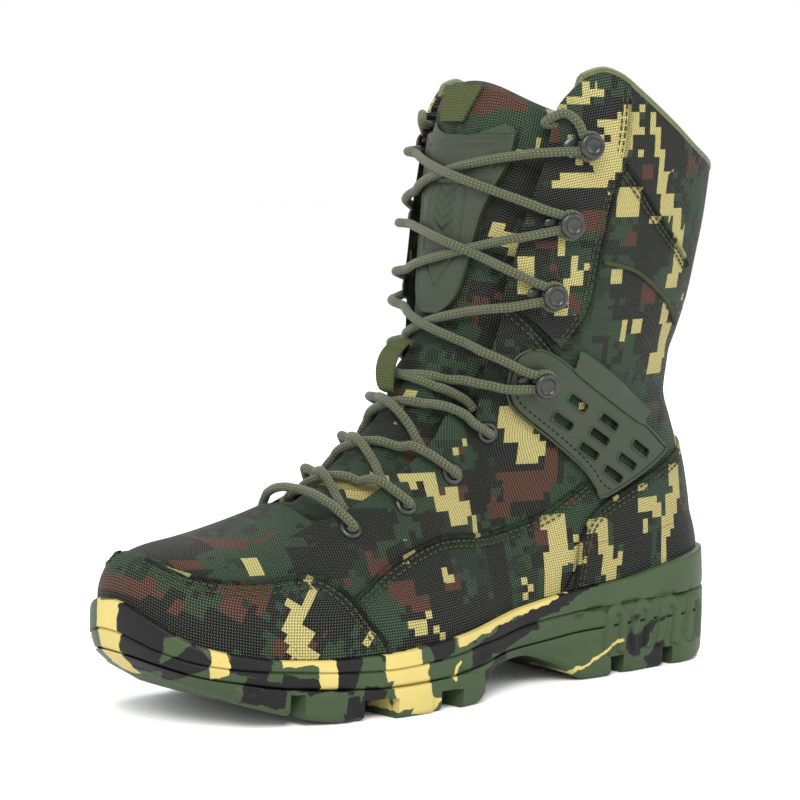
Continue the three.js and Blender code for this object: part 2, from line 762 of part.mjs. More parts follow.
function makeTongue() {
  const sheet = (depth) =>
    grid(TONGUE_ROWS, TONGUE_COLUMNS, (along, over) => {
      const guess = HEIGHT * mix(TONGUE_LOW, 1, along);
      const spread = TONGUE_SPREAD * smooth(guess / HEIGHT, 0.25, 0.5);
      const half = Math.min(throatHalf(guess) + spread, SHAFT_HALF * 0.9);
      const y = (2 * over - 1) * half;
      const z = mix(HEIGHT * TONGUE_LOW, HEIGHT - TONGUE_DROOP * y * y, along);
      return onTongue(y, z, depth);
    });
  return slab(sheet(0), sheet(TONGUE));
}

const ON_TONGUE = 0.6; // clearance over the tongue's facets

function makeTonguePlate() {
  const low = TONGUE_PLATE[0].at;
  const high = TONGUE_PLATE[TONGUE_PLATE.length - 1].at;
  const dip = HEIGHT * 0.017; // the top edge dips at the middle
  const sheet = (depth) =>
    grid(10, 6, (along, over) => {
      const across = 2 * over - 1;
      const y = across * read(TONGUE_PLATE, "half", mix(low, high, along)) * SHAFT_HALF;
      const z = HEIGHT * mix(low, high, along) - dip * smooth(along, 0.8, 1) * (1 - across * across);
      return onTongue(y, z, depth);
    });
  return slab(sheet(-ON_TONGUE - PLATE), sheet(-ON_TONGUE));
}

// Webbing on the tongue: a pull tab at its top and a keeper that arches over the lace
const WEBBING = 1.5;

function makeTongueTab() {
  const TAB = { left: -17, rightLow: 2, rightHigh: 12, low: 0.93, high: 0.99 };
  const sheet = (depth) =>
    grid(4, 4, (along, over) => {
      const right = mix(TAB.rightLow, TAB.rightHigh, along);
      return onTongue(mix(TAB.left, right, over), HEIGHT * mix(TAB.low, TAB.high, along), depth);
    });
  return slab(sheet(-ON_TONGUE - WEBBING), sheet(-ON_TONGUE));
}

function makeLaceKeeper() {
  const KEEPER = { left: -12, right: 1, low: 0.485, high: 0.57, arch: 7 };
  const lift = ON_TONGUE + 1.8;
  const sheet = (depth) =>
    grid(8, 3, (along, over) => {
      const arch = KEEPER.arch * Math.pow(Math.sin(Math.PI * along), 0.6);
      const z = HEIGHT * mix(KEEPER.low, KEEPER.high, along);
      return onTongue(mix(KEEPER.left, KEEPER.right, over), z, depth - arch);
    });
  return slab(sheet(-lift - WEBBING), sheet(-lift));
}

// Panels and plates laid over the upper, cut between two larger forms of it
const sideOutline = (table) => table.map(({ at, rise }) => [at * LENGTH, rise * HEIGHT]);
const FULL_WIDTH = SHAFT_HALF * 1.6;

function formAboveLip(distance) {
  const rows = offsetRows(distance).slice(1);
  rows[0].forEach((point) => {
    point.z = lipLine(point.x) + LIP_CLEAR / 2;
  });
  return rows;
}

const overlay = (clear, thick) =>
  loft([...formAboveLip(clear + thick), ...formAboveLip(clear).reverse()], true);

const panelShell = overlay(GAP, PANEL);
const plateShell = overlay(GAP, PLATE);

function makeToeCap() {
  return largest(panelShell.intersect(prism(sideOutline(TOE_CAP), -FULL_WIDTH, FULL_WIDTH, throughY)));
}

function makeCounter() {
  return largest(panelShell.intersect(prism(sideOutline(COUNTER), -FULL_WIDTH, FULL_WIDTH, throughY)));
}

const oneSide = (side) => (side > 0 ? [0, FULL_WIDTH] : [-FULL_WIDTH, 0]);

function makeFacing(side) {
  const cutter = prism(sideOutline(FACING), ...oneSide(side), throughY);
  return largest(panelShell.intersect(cutter).subtract(throatCutter()));
}

function makeAnklePlate(side) {
  let plate = plateShell.intersect(prism(sideOutline(ANKLE_PLATE), ...oneSide(side), throughY));
  const down = [-Math.cos(SLOT_SLOPE), -Math.sin(SLOT_SLOPE)];
  const across = [Math.sin(SLOT_SLOPE), -Math.cos(SLOT_SLOPE)];
  for (const slot of SLOTS) {
    const a = slot.down * SLOT_PITCH_DOWN;
    const b = slot.across * SLOT_PITCH_ACROSS;
    const x = FIRST_SLOT.at * LENGTH + a * down[0] + b * across[0];
    const z = FIRST_SLOT.rise * HEIGHT + a * down[1] + b * across[1];
    const corner = (i, j) => [
      x + (i * SLOT_LONG * down[0] + j * SLOT_WIDE * across[0]) / 2,
      z + (i * SLOT_LONG * down[1] + j * SLOT_WIDE * across[1]) / 2,
    ];
    const hole = [corner(-1, -1), corner(1, -1), corner(1, 1), corner(-1, 1)];
    plate = plate.subtract(prism(hole, ...oneSide(side), throughY));
  }
  return largest(plate);
}

// Place and outward direction on the side of the upper
function onSide(at, rise, side) {
  const point = (x, z) => new THREE.Vector3(x, upperCentre(x, z) + side * upperHalf(x, z), z);
  const x = at * LENGTH;
  const z = rise * HEIGHT;
  const forward = point(x + 2, z).sub(point(x - 2, z));
  const up = point(x, z + 2).sub(point(x, z - 2));
  const out = up.cross(forward).multiplyScalar(side).normalize();
  return { place: point(x, z), out };
}

// The same place, lifted to the highest spot of the upper's facets within a radius
const facets = new THREE.Mesh(geometryOf(shell));

function seatOf({ at, rise }, side, radius) {
  const { place, out } = onSide(at, rise, side);
  const across = new THREE.Vector3(0, 0, 1).cross(out).normalize();
  const up = out.clone().cross(across);
  const reach = 20;
  let highest = -reach;
  for (let i = 0; i < 8; i += 1) {
    const angle = (i / 8) * 2 * Math.PI;
    const from = place.clone().addScaledVector(out, reach);
    from.addScaledVector(across, radius * Math.cos(angle));
    from.addScaledVector(up, radius * Math.sin(angle));
    const [hit] = new THREE.Raycaster(from, out.clone().negate()).intersectObject(facets);
    highest = Math.max(highest, reach - hit.distance);
  }
  return { place: place.addScaledVector(out, highest), out, across, up };
}

// Turned piece from a profile of [radius, height] pairs, stood on a place along a direction
function turned(profile, { place, out }, sides = 8) {
  const points = profile.map(([radius, height]) => new THREE.Vector2(radius, height));
  const geometry = new THREE.LatheGeometry(points, sides);
  const turn = new THREE.Quaternion().setFromUnitVectors(new THREE.Vector3(0, 1, 0), out);
  geometry.applyQuaternion(turn).translate(place.x, place.y, place.z);
  return solidOf(trianglesOf(geometry));
}

function trianglesOf(geometry) {
  const flat = geometry.index ? geometry.toNonIndexed() : geometry;
  const place = flat.attributes.position;
  return Array.from({ length: place.count / 3 }, (_, i) =>
    [0, 1, 2].map((k) => new THREE.Vector3().fromBufferAttribute(place, 3 * i + k)),
  );
}

const PUNCH = 6; // reach of the punch on either side of the wall
const RIM = 1.1; // height of an eyelet's rim

function eyeletPunch(eyelet, side) {
  const radius = EYELET_HOLE / 2;
  const profile = [[0, -PUNCH], [radius, -PUNCH], [radius, PUNCH], [0, PUNCH]];
  return turned(profile, seatOf(eyelet, side, EYELET_RIM / 2));
}

function makeEyelet(eyelet, side) {
  const bore = EYELET_BORE / 2;
  const barrel = EYELET_HOLE / 2 - GAP;
  const rim = EYELET_RIM / 2;
  const profile = [
    [bore, -WALL],
    [barrel, -WALL],
    [barrel, GAP],
    [rim, GAP],
    [rim - 0.5, GAP + RIM],
    [bore, GAP + RIM / 2],
    [bore, -WALL],
  ];
  return turned(profile, seatOf(eyelet, side, EYELET_RIM / 2));
}

// Height of a hook's foot over the upper: the lowest stands on the ankle plate, the others on the facing
const hookFoot = (number) => (number === 0 ? GAP + PLATE : GAP + PANEL) + GAP;

function makeHook(number, side) {
  const foot = hookFoot(number);
  const neck = HOOK_NECK / 2;
  const head = HOOK_HEAD / 2;
  const profile = [
    [0, foot],
    [HOOK_BASE / 2, foot],
    [neck, foot + HOOK_FLARE],
    [neck, foot + HOOK_HEIGHT - HOOK_FLARE - 1],
    [head, foot + HOOK_HEIGHT - 1],
    [head - 1, foot + HOOK_HEIGHT],
    [0, foot + HOOK_HEIGHT],
  ];
  return turned(profile, seatOf(HOOKS[number], side, HOOK_BASE / 2));
}

// Cord of a few straight sides along a smooth curve
function cordSolid(points, diameter, steps, sides = 6) {
  const path = new THREE.CatmullRomCurve3(points);
  const section = new THREE.Shape(
    Array.from({ length: sides }, (_, i) => {
      const angle = (i / sides) * 2 * Math.PI;
      return new THREE.Vector2(Math.cos(angle), Math.sin(angle)).multiplyScalar(diameter / 2);
    }),
  );
  return solidOf(trianglesOf(new THREE.ExtrudeGeometry(section, { steps, extrudePath: path })));
}

// Lace: each run starts in the throat beside one facing and ends on the fastener opposite
const LACE_STEPS = 9;
const LACE_REST = LACE / 2 + 1.1; // height of the lace's middle over what it lies on
const fasteners = [...EYELETS, ...HOOKS];
const isHook = (number) => number >= EYELETS.length;

// Each crossing: lean of its plane in radians over the level, how far its two runs sway apart,
// and how far one rises over the other
const LACE_OVER = LACE * 0.7;
const CROSSINGS = [
  { lean: 1.05, sway: 0, over: LACE_OVER },
  { lean: 0.93, sway: 0, over: LACE_OVER },
  { lean: 0.76, sway: 0, over: LACE_OVER },
  { lean: 0.3, sway: 0, over: 0 },
  { lean: 0.2, sway: 0, over: LACE_OVER },
  { lean: 0.16, sway: 5, over: LACE_OVER },
  { lean: 0.18, sway: 0, over: LACE_OVER },
];

// Point pushed along a direction to the upper's facets, then raised off them
const FAR = 100;

function raised(point, way, height) {
  const from = point.clone().addScaledVector(way, FAR);
  const [hit] = new THREE.Raycaster(from, way.clone().negate()).intersectObject(facets);
  return hit.point.clone().addScaledVector(hit.normal.normalize(), height(hit.point));
}

// Height of the lace's middle over the form of the upper: on the tongue, or over a facing
function laceHeight({ x, y, z }) {
  const plated = smooth(z / HEIGHT, TONGUE_PLATE[0].at - 0.03, TONGUE_PLATE[0].at);
  const onTheTongue = LACE_REST - tongueSunk(y, z) + plated * (ON_TONGUE + PLATE);
  const panelled = smooth(z / HEIGHT, 0.5, 0.56) * (GAP + PANEL + 0.7);
  const plateFront = LENGTH * Math.max(...ANKLE_PLATE.map(({ at }) => at));
  const onPlate = smooth(plateFront + 9 - x, 0, 6) * (1 - smooth(z / HEIGHT, 0.56, 0.58)) * (GAP + PLATE + 0.5);
  const overFacing = smooth(Math.abs(y) - throatHalf(z), -8, -3);
  return mix(onTheTongue, LACE_REST + Math.max(panelled, onPlate), overFacing);
}

// Where a run ends: over an eyelet's rim, or beside a hook's neck, below it or above it
function laceEnd(number, side, above) {
  if (!isHook(number)) {
    const { place, out } = seatOf(fasteners[number], side, EYELET_RIM / 2);
    return place.addScaledVector(out, GAP + RIM + LACE_REST + GAP);
  }
  const { place, out, across, up } = seatOf(fasteners[number], side, HOOK_BASE / 2);
  const lift = hookFoot(number - EYELETS.length) + HOOK_HEIGHT / 2;
  const beside = (HOOK_NECK + LACE) / 2 + GAP * 2;
  const angle = above ? 1.0 : -0.45;
  place.addScaledVector(out, lift).addScaledVector(up, beside * Math.sin(angle));
  return place.addScaledVector(across, -side * beside * Math.cos(angle));
}

// Points of a lace from one side to the other, spread like a fan from inside the boot.
// The height is a function of the share of the way and of the place on the upper.
const FAN_DEPTH = 12; // how far behind the lace's ends the fan is centred

function overFront(start, end, { lean, sway }, from, height) {
  const way = new THREE.Vector3(Math.cos(lean), 0, Math.sin(lean));
  const points = [];
  for (let i = from; i < LACE_STEPS; i += 1) {
    const t = i / LACE_STEPS;
    const centre = start.clone().lerp(end, t).addScaledVector(way, -FAN_DEPTH).setY(0);
    centre.z += Math.sign(start.y) * sway * Math.sin(Math.PI * t);
    const angle = mix(Math.atan2(start.y, FAN_DEPTH), Math.atan2(end.y, FAN_DEPTH), t);
    const out = way.clone().multiplyScalar(Math.cos(angle)).setY(Math.sin(angle));
    points.push(raised(centre, out, (p) => height(t, p)));
  }
  return points;
}

function laceRun(low, high, side, over) {
  const from = fasteners[low];
  const leave = (from.rise + (from.leaves ?? 0)) * HEIGHT;
  const start = isHook(low)
    ? laceEnd(low, side, true)
    : frontPoint(side * (throatHalf(leave) - LACE / 2 - 1), leave);
  const end = laceEnd(high, -side, false);
  const height = (t, p) => {
    const crossing = over ? CROSSINGS[low].over * Math.exp(-Math.pow((t - 0.42) / 0.13, 2)) : 0;
    return laceHeight(p) + crossing + (GAP + RIM) * smooth(t, 0.65, 0.88);
  };
  const points = overFront(start, end, CROSSINGS[low], isHook(low) ? 1 : 0, height);
  const ends = isHook(low) ? [start, ...points, end] : [...points, end];
  return cordSolid(ends, LACE, LACE_STEPS + 2);
}

function makeCrossing(low) {
  return laceRun(low, low + 1, 1, true).add(laceRun(low, low + 1, -1, false));
}

function makeLaceBar() {
  const outer = laceEnd(0, 1);
  const inner = laceEnd(0, -1);
  const height = (t) => LACE_REST + (GAP + RIM) * Math.abs(2 * t - 1);
  return cordSolid([outer, ...overFront(outer, inner, CROSSINGS[0], 1, height), inner], LACE, LACE_STEPS);
}

// Cord along the collar, from one facing round the back to the other
function makePiping() {
  const top = upperRows[upperRows.length - 1];
  const normals = upperNormals[upperNormals.length - 1];
  const around = [];
  for (let k = 0; k < LOOP.length; k += 1) {
    const at = (k + SIDE_STEPS) % LOOP.length;
    const point = top[at].clone().addScaledVector(normals[at], -WALL / 2);
    const inThroat = point.x > LENGTH * THROAT_BACK && Math.abs(point.y) < throatHalf(point.z) + 1;
    if (!inThroat) {
      around.push(point.add(new THREE.Vector3(0, 0, PIPING / 2 + GAP * 2)));
    }
  }
  return cordSolid(around, PIPING, 36);
}

const root = new THREE.Group();

function addPiece(name, solid, colour, roughness, metalness = 0) {
  const piece = new THREE.Mesh(
    geometryOf(solid),
    new THREE.MeshStandardMaterial({ color: colour, roughness, metalness }),
  );
  piece.name = name;
  root.add(piece);
}

const RUBBER = 0x4e6244;
const CANVAS = 0x2b3d30;
const LINING = 0x2a2a28;
const MOULDED = 0x46523c;
const WEB = 0x5f6441;
const METAL = 0x3c3e3a;

addPiece("outsole", makeOutsole(), RUBBER, 0.6);
addPiece("midsole", makeMidsole(), RUBBER, 0.6);
addPiece("insole", makeInsole(), LINING, 0.9);
addPiece("upper", makeUpper(), CANVAS, 0.9);
addPiece("tongue", makeTongue(), CANVAS, 0.9);
addPiece("tongue_plate", makeTonguePlate(), MOULDED, 0.6);
addPiece("tongue_tab", makeTongueTab(), WEB, 0.85);
addPiece("lace_keeper", makeLaceKeeper(), WEB, 0.85);
addPiece("toe_cap", makeToeCap(), CANVAS, 0.9);
addPiece("heel_counter", makeCounter(), CANVAS, 0.9);
addPiece("collar_piping", makePiping(), WEB, 0.85);

const SIDES = [
  { label: "outer", side: 1 },
  { label: "inner", side: -1 },
];
for (const { label, side } of SIDES) {
  addPiece(`facing_${label}`, makeFacing(side), CANVAS, 0.9);
  addPiece(`ankle_plate_${label}`, makeAnklePlate(side), MOULDED, 0.6);
  EYELETS.forEach((eyelet, i) => {
    addPiece(`eyelet_${label}_${i + 1}`, makeEyelet(eyelet, side), METAL, 0.4, 0.8);
  });
  HOOKS.forEach((_, i) => {
    addPiece(`hook_${label}_${i + 1}`, makeHook(i, side), METAL, 0.4, 0.8);
  });
}

addPiece("lace_bar", makeLaceBar(), WEB, 0.85);
for (let low = 0; low < fasteners.length - 1; low += 1) {
  addPiece(`lace_crossing_${low + 1}`, makeCrossing(low), WEB, 0.85);
}

// The origin is on the floor at the middle of the boot's box
const box = new THREE.Box3().setFromObject(root);
root.position.set(-(box.min.x + box.max.x) / 2, -(box.min.y + box.max.y) / 2, -box.min.z);

export default root;
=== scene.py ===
"""Lace-up field boot, left foot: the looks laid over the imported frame.

Sizes are millimetres from the back of the heel: X to the toe, +Y the outer side, Z up.
"""

import bisect
import math

import bpy
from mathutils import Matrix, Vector
from mathutils.bvhtree import BVHTree


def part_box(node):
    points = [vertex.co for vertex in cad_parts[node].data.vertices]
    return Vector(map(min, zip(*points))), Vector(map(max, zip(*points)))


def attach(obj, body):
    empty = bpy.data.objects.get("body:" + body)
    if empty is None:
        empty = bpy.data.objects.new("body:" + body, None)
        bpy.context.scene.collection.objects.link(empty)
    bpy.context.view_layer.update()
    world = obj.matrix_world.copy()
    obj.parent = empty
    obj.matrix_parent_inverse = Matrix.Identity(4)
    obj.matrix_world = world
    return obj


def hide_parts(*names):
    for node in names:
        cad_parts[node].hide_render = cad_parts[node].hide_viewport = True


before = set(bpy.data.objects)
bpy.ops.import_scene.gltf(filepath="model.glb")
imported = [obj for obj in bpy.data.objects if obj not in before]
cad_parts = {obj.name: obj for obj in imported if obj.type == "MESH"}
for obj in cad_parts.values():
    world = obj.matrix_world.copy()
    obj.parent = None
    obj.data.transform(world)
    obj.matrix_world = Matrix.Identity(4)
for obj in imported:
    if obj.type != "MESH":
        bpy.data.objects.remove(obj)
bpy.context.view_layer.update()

MM = 0.001
HEEL_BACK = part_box("outsole")[0][0]  # the frame's own X at the back of the heel


def put(x, y, z):
    """Place in the frame of a point in the boot's millimetres."""
    return Vector((HEEL_BACK + x * MM, y * MM, z * MM))


# Driving sizes, as in the part
LENGTH = 307.0
BALL_HALF = 52.0
SOLE_HEIGHT = 42.0
HEIGHT = 262.0
SHAFT_DEPTH = 146.0
SHAFT_HALF = 54.0
HEEL_ROUND = 40.0
TOE_ROUND = 47.0
GAP = 0.3
WALL = 2.4
LIP = 4.2
GROOVE = 1.3
TOE_TUCK = 6.0
TREAD_DEPTH = 8.5
TONGUE = 5.0
PANEL = 1.2
PLATE = 2.0
LACE = 4.0
CAP_CLOTH = 1.0  # thickness of the toe cap and the counter
FACING_CLOTH = 1.1
REACH = 90.0  # further out than either side of the boot
SIDES = {1: "outer", -1: "inner"}

# Camera: where it stands, what it looks at, and its lens on a 36 mm sensor
CAMERA_AT = (885.6, 946.0, 241.2)
LOOKS_AT = (222.0, 75.4, 133.1)
LENS = 125.64


def add_camera():
    bpy.ops.object.camera_add(location=put(*CAMERA_AT))
    camera = bpy.context.object
    camera.name = "camera"
    camera.data.lens = LENS
    camera.data.sensor_width = 36
    camera.data.clip_end = 20
    camera.rotation_euler = (put(*LOOKS_AT) - put(*CAMERA_AT)).to_track_quat("-Z", "Y").to_euler()
    bpy.context.scene.camera = camera


# Tables of the form: place as a share of LENGTH or HEIGHT, then one column each
SOLE_HALF = [
    (0.0, 0.74), (0.15, 0.735), (0.255, 0.755), (0.345, 0.715), (0.415, 0.725), (0.505, 0.85),
    (0.615, 0.985), (0.685, 1.0), (0.745, 0.98), (0.84, 0.91), (1.0, 0.91),
]
SOLE_CENTRE = [
    (0.0, 0.0), (0.15, 0.0), (0.255, 0.03), (0.345, 0.08), (0.415, 0.105), (0.505, 0.115),
    (0.615, 0.075), (0.685, 0.04), (0.745, -0.01), (0.84, -0.08), (1.0, -0.18),
]
# Place along, then shares of SOLE_HEIGHT: tread, top of the outsole, side groove, footbed, lip
SOLE_LINES = [
    (0.0, 0.15, 0.57, 0.8, 0.71, 1.2),
    (0.03, 0.05, 0.55, 0.78, 0.71, 1.19),
    (0.08, 0.0, 0.53, 0.76, 0.71, 1.16),
    (0.13, 0.0, 0.52, 0.75, 0.71, 1.1),
    (0.205, 0.0, 0.52, 0.74, 0.7, 1.01),
    (0.3, 0.0, 0.51, 0.73, 0.68, 0.96),
    (0.365, 0.24, 0.48, 0.71, 0.65, 0.91),
    (0.42, 0.345, 0.45, 0.67, 0.6, 0.86),
    (0.48, 0.33, 0.42, 0.61, 0.54, 0.8),
    (0.535, 0.0, 0.36, 0.56, 0.48, 0.73),
    (0.586, 0.0, 0.32, 0.52, 0.45, 0.69),
    (0.686, 0.0, 0.3, 0.475, 0.43, 0.63),
    (0.756, 0.01, 0.325, 0.495, 0.43, 0.62),
    (0.83, 0.115, 0.375, 0.54, 0.475, 0.65),
    (0.89, 0.245, 0.455, 0.595, 0.56, 0.73),
    (0.94, 0.36, 0.525, 0.665, 0.63, 0.83),
    (0.977, 0.46, 0.62, 0.78, 0.71, 1.03),
    (1.0, 0.54, 0.7, 0.92, 0.76, 1.22),
]
RIDGE = [
    (0.0, 0.25), (0.285, 0.36), (0.435, 0.5), (0.51, 0.575), (0.541, 0.5), (0.576, 0.447),
    (0.629, 0.393), (0.684, 0.351), (0.749, 0.32), (0.806, 0.299), (0.868, 0.281),
    (0.92, 0.271), (0.958, 0.257), (0.975, 0.241), (0.985, 0.208),
]
# Along the foot: its half width as a share of its seat's, and the squareness of its arch
FOOT_HALF = [(0.0, 0.0), (0.15, 0.3), (0.3, 0.86), (0.5, 0.9), (0.7, 0.93), (0.85, 0.94), (1.0, 0.95)]
FOOT_ARCH = [(0.0, 2.2), (0.15, 2.2), (0.3, 2.1), (0.5, 2.0), (0.7, 2.05), (0.85, 2.3), (1.0, 2.5)]
# Height, then the shaft's back and front lines of SHAFT_DEPTH and its half width of SHAFT_HALF
SHAFT = [
    (0.0, 0.03, 0.92, 0.64),
    (0.19, 0.04, 0.96, 0.665),
    (0.27, 0.056, 0.985, 0.67),
    (0.36, 0.091, 1.015, 0.67),
    (0.42, 0.131, 1.045, 0.675),
    (0.47, 0.161, 1.065, 0.7),
    (0.525, 0.151, 1.07, 0.745),
    (0.575, 0.124, 1.058, 0.79),
    (0.63, 0.093, 1.046, 0.84),
    (0.7, 0.066, 1.026, 0.885),
    (0.765, 0.044, 1.006, 0.925),
    (0.82, 0.033, 0.986, 0.955),
    (0.89, 0.02, 0.961, 0.985),
    (1.0, 0.0, 0.921, 1.0),
]
# Height of the collar's edge, on the way from its back to its front
COLLAR = [
    (0.0, 0.813), (0.04, 0.832), (0.25, 0.876), (0.39, 0.92), (0.53, 0.968), (0.61, 0.994),
    (0.67, 1.003), (0.73, 0.995), (0.79, 0.968), (0.84, 0.94), (1.0, 0.92),
]
# The throat's edge: heights and half widths, the latter of SHAFT_HALF
THROAT_FOOT = [(0.322, 0.0), (0.3205, 0.11), (0.317, 0.2), (0.312, 0.275), (0.307, 0.33), (0.302, 0.41)]
THROAT = [
    (0.31, 0.445), (0.35, 0.465), (0.45, 0.47), (0.5, 0.5), (0.565, 0.575), (0.637, 0.63),
    (0.71, 0.69), (0.79, 0.745), (0.855, 0.8), (1.1, 0.88),
]
# Fasteners: place along and height, and how far over an eyelet the lace comes out
EYELETS = [(0.694, 0.289, 0.033), (0.607, 0.32, 0.041), (0.526, 0.362, 0.052), (0.45, 0.421, 0.058)]
HOOKS = [(0.388, 0.504), (0.383, 0.645), (0.363, 0.76), (0.339, 0.885)]


def clamp(value, low=0.0, high=1.0):
    return min(max(value, low), high)


def mix(a, b, share):
    return a + (b - a) * share


def bell(off, wide):
    return math.exp(-((off / wide) ** 2))


def ease(value, low, high):
    """Smooth step from 0 at low to 1 at high."""
    t = clamp((value - low) / (high - low))
    return t * t * (3 - 2 * t)


def curve_through(points):
    """Function through (place, value) pairs, smooth and without overshoot."""
    at = [p[0] for p in points]
    value = [p[1] for p in points]
    secants = [(value[i + 1] - value[i]) / (at[i + 1] - at[i]) for i in range(len(at) - 1)]
    slopes = [secants[0]]
    for before, after in zip(secants, secants[1:]):
        slopes.append(0 if before * after <= 0 else 2 * before * after / (before + after))
    slopes.append(secants[-1])

    def read(x):
        i = min(max(bisect.bisect_left(at, x) - 1, 0), len(at) - 2)
        span = at[i + 1] - at[i]
        t = clamp((x - at[i]) / span)
        rise = t * t * (3 - 2 * t)
        base = value[i] * (1 - rise) + value[i + 1] * rise
        return base + span * (t * (1 - t) ** 2 * slopes[i] - t * t * (1 - t) * slopes[i + 1])

    return read


def column_of(table, column):
    return curve_through([(row[0], row[column]) for row in table])


def sole_line(column):
    """Height along the sole in millimetres, from a column of SOLE_LINES."""
    share_of = column_of(SOLE_LINES, column)
    return lambda x: share_of(x / LENGTH) * SOLE_HEIGHT


sole_half = curve_through(SOLE_HALF)
sole_centre = curve_through(SOLE_CENTRE)
floor_line, split_line, groove_line, bed_line, lip_line = (sole_line(c) for c in range(1, 6))
ridge_of = curve_through(RIDGE)
foot_half_of = curve_through(FOOT_HALF)
foot_arch_of = curve_through(FOOT_ARCH)
shaft_back_of, shaft_front_of, shaft_half_of = (column_of(SHAFT, c) for c in range(1, 4))
collar_of = curve_through(COLLAR)
throat_of = curve_through(THROAT)


def centre_line(x):
    return sole_centre(x / LENGTH) * BALL_HALF


def plan_half(x, inset):
    """Half width of the sole's plan, drawn in by an inset."""
    wide = sole_half(x / LENGTH) * BALL_HALF - inset
    into_heel = max(0.0, (HEEL_ROUND - x) / (HEEL_ROUND - inset))
    into_toe = max(0.0, (x - LENGTH + TOE_ROUND) / (TOE_ROUND - inset))
    end = min(1.0, max(into_heel, into_toe))
    return wide * math.sqrt(1 - end * end)


FOOT_FULLNESS = 1.06  # how much wider than its seat the foot may stand
SHAFT_FULLNESS = 2.35  # squareness of the shaft's plan, where 2 is an ellipse
SWING_FADES = (5, 45)  # heights over the lip between which the centre line's outward swing fades


def foot_half(x, z):
    base = lip_line(x)
    top = ridge_of(x / LENGTH) * HEIGHT
    if z >= top:
        return 0.0
    arch = foot_arch_of(x / LENGTH)
    rise = max(0.0, (z - base) / (top - base))
    wide = plan_half(x, LIP + GAP) * foot_half_of(x / LENGTH) * FOOT_FULLNESS
    return wide * (1 - rise**arch) ** (1 / arch)


def shaft_back(z):
    return shaft_back_of(z / HEIGHT) * SHAFT_DEPTH


def shaft_front(z):
    return shaft_front_of(z / HEIGHT) * SHAFT_DEPTH


def shaft_half(x, z):
    back = shaft_back(z)
    front = shaft_front(z)
    share = abs((2 * x - back - front) / (front - back))
    if share >= 1:
        return 0.0
    wide = shaft_half_of(z / HEIGHT) * SHAFT_HALF
    return wide * (1 - share**SHAFT_FULLNESS) ** (1 / SHAFT_FULLNESS)


BLEND = 7  # sharpness with which foot and shaft flow together
SEAT = 18.0  # height over which the upper leaves the line of the lip


def upper_half(x, z):
    free = (foot_half(x, z) ** BLEND + shaft_half(x, z) ** BLEND) ** (1 / BLEND)
    seated = plan_half(x, LIP + GAP)
    leave = ease(z - lip_line(x), 0, SEAT)
    return mix(min(seated, free + LIP), free, leave)


def upper_centre(x, z):
    above = z - lip_line(x)
    return mix(centre_line(x), min(0.0, centre_line(x)), ease(above, *SWING_FADES))


# Front line of the boot: up the toe, along the ridge of the foot and up the shaft
CROSSOVER = 0.51
FRONT_TOP = 0.92
RIDGE_STEP = 0.002
SHAFT_STEP = 1.0
front_line = []
place_along = RIDGE[-1][0]
while place_along > CROSSOVER:
    front_line.append((place_along * LENGTH, ridge_of(place_along) * HEIGHT))
    place_along -= RIDGE_STEP
height_up = ridge_of(CROSSOVER) * HEIGHT
while height_up < HEIGHT * FRONT_TOP:
    front_line.append((shaft_front(height_up), height_up))
    height_up += SHAFT_STEP
front_lengths = [0.0]
for before, after in zip(front_line, front_line[1:]):
    front_lengths.append(front_lengths[-1] + math.dist(before, after))


def along_front(share):
    target = share * front_lengths[-1]
    i = min(max(bisect.bisect_left(front_lengths, target), 1), len(front_line) - 1)
    t = (target - front_lengths[i - 1]) / (front_lengths[i] - front_lengths[i - 1])
    return (mix(front_line[i - 1][0], front_line[i][0], t), mix(front_line[i - 1][1], front_line[i][1], t))


# The upper's fine grid: rows from the footbed to the collar, columns round from the heel's tip
HALF_LOOP = 124
ROWS = 116
SEATED = LIP + GAP
LIP_CLEAR = 1.0
ROW_SPREAD = 1.2  # above 1 the rows lie closer together near the sole
SMOOTH_COLLAR = (0.8, 0.86)  # shares of HEIGHT between which the creases fade towards the collar
TUCK_REACH = 1.3  # how far back the toe's tuck reaches, in toe roundings
COLLAR_BACK = COLLAR[0][1] * HEIGHT
TINY = 1e-9
COLLAR_INNER = 4.5  # how much lower the collar's peak is on the inner side
heel_tip = SEATED
toe_tip = LENGTH - SEATED


def around(count=HALF_LOOP):
    """Share of the way from heel to toe, and the side, at each column."""
    for k in range(2 * count + 1):
        turn = k / count
        side = 1 if turn <= 1 else -1
        yield (1 - math.cos(math.pi * min(turn, 2 - turn))) / 2, side


def sole_ring(inset, height, tuck=0.0):
    ring = []
    for share, side in around():
        x = mix(0, LENGTH, share)
        drawn = inset + tuck * ease(x, LENGTH - TOE_ROUND * TUCK_REACH, LENGTH)
        x = mix(drawn, LENGTH - drawn, share)
        ring.append(Vector((x, centre_line(x) + side * plan_half(x, drawn), height(x))))
    return ring


def upper_row(share):
    front_x, front_z = along_front(share)
    back_low = lip_line(0) + LIP_CLEAR
    back_height = mix(back_low, COLLAR_BACK, share)
    back = mix(heel_tip, shaft_back(back_height), ease(back_height - back_low, 0, SEAT))
    row = []
    for u, side in around():
        x = mix(back, front_x, u)
        straight = mix(back_height, front_z, u)
        on_lip = lip_line(mix(heel_tip, toe_tip, u)) - mix(lip_line(heel_tip), lip_line(toe_tip), u)
        on_collar = collar_of(u) * HEIGHT - mix(COLLAR_BACK, HEIGHT * FRONT_TOP, u)
        lower = COLLAR_INNER * math.sin(math.pi * u) if side < 0 else 0.0
        z = straight + on_lip * (1 - share) ** 3 + (on_collar - lower) * share**5
        tip = min(u, 1 - u) < TINY
        row.append(Vector((x, upper_centre(x, z) + (0 if tip else side * upper_half(x, z)), z)))
    return row


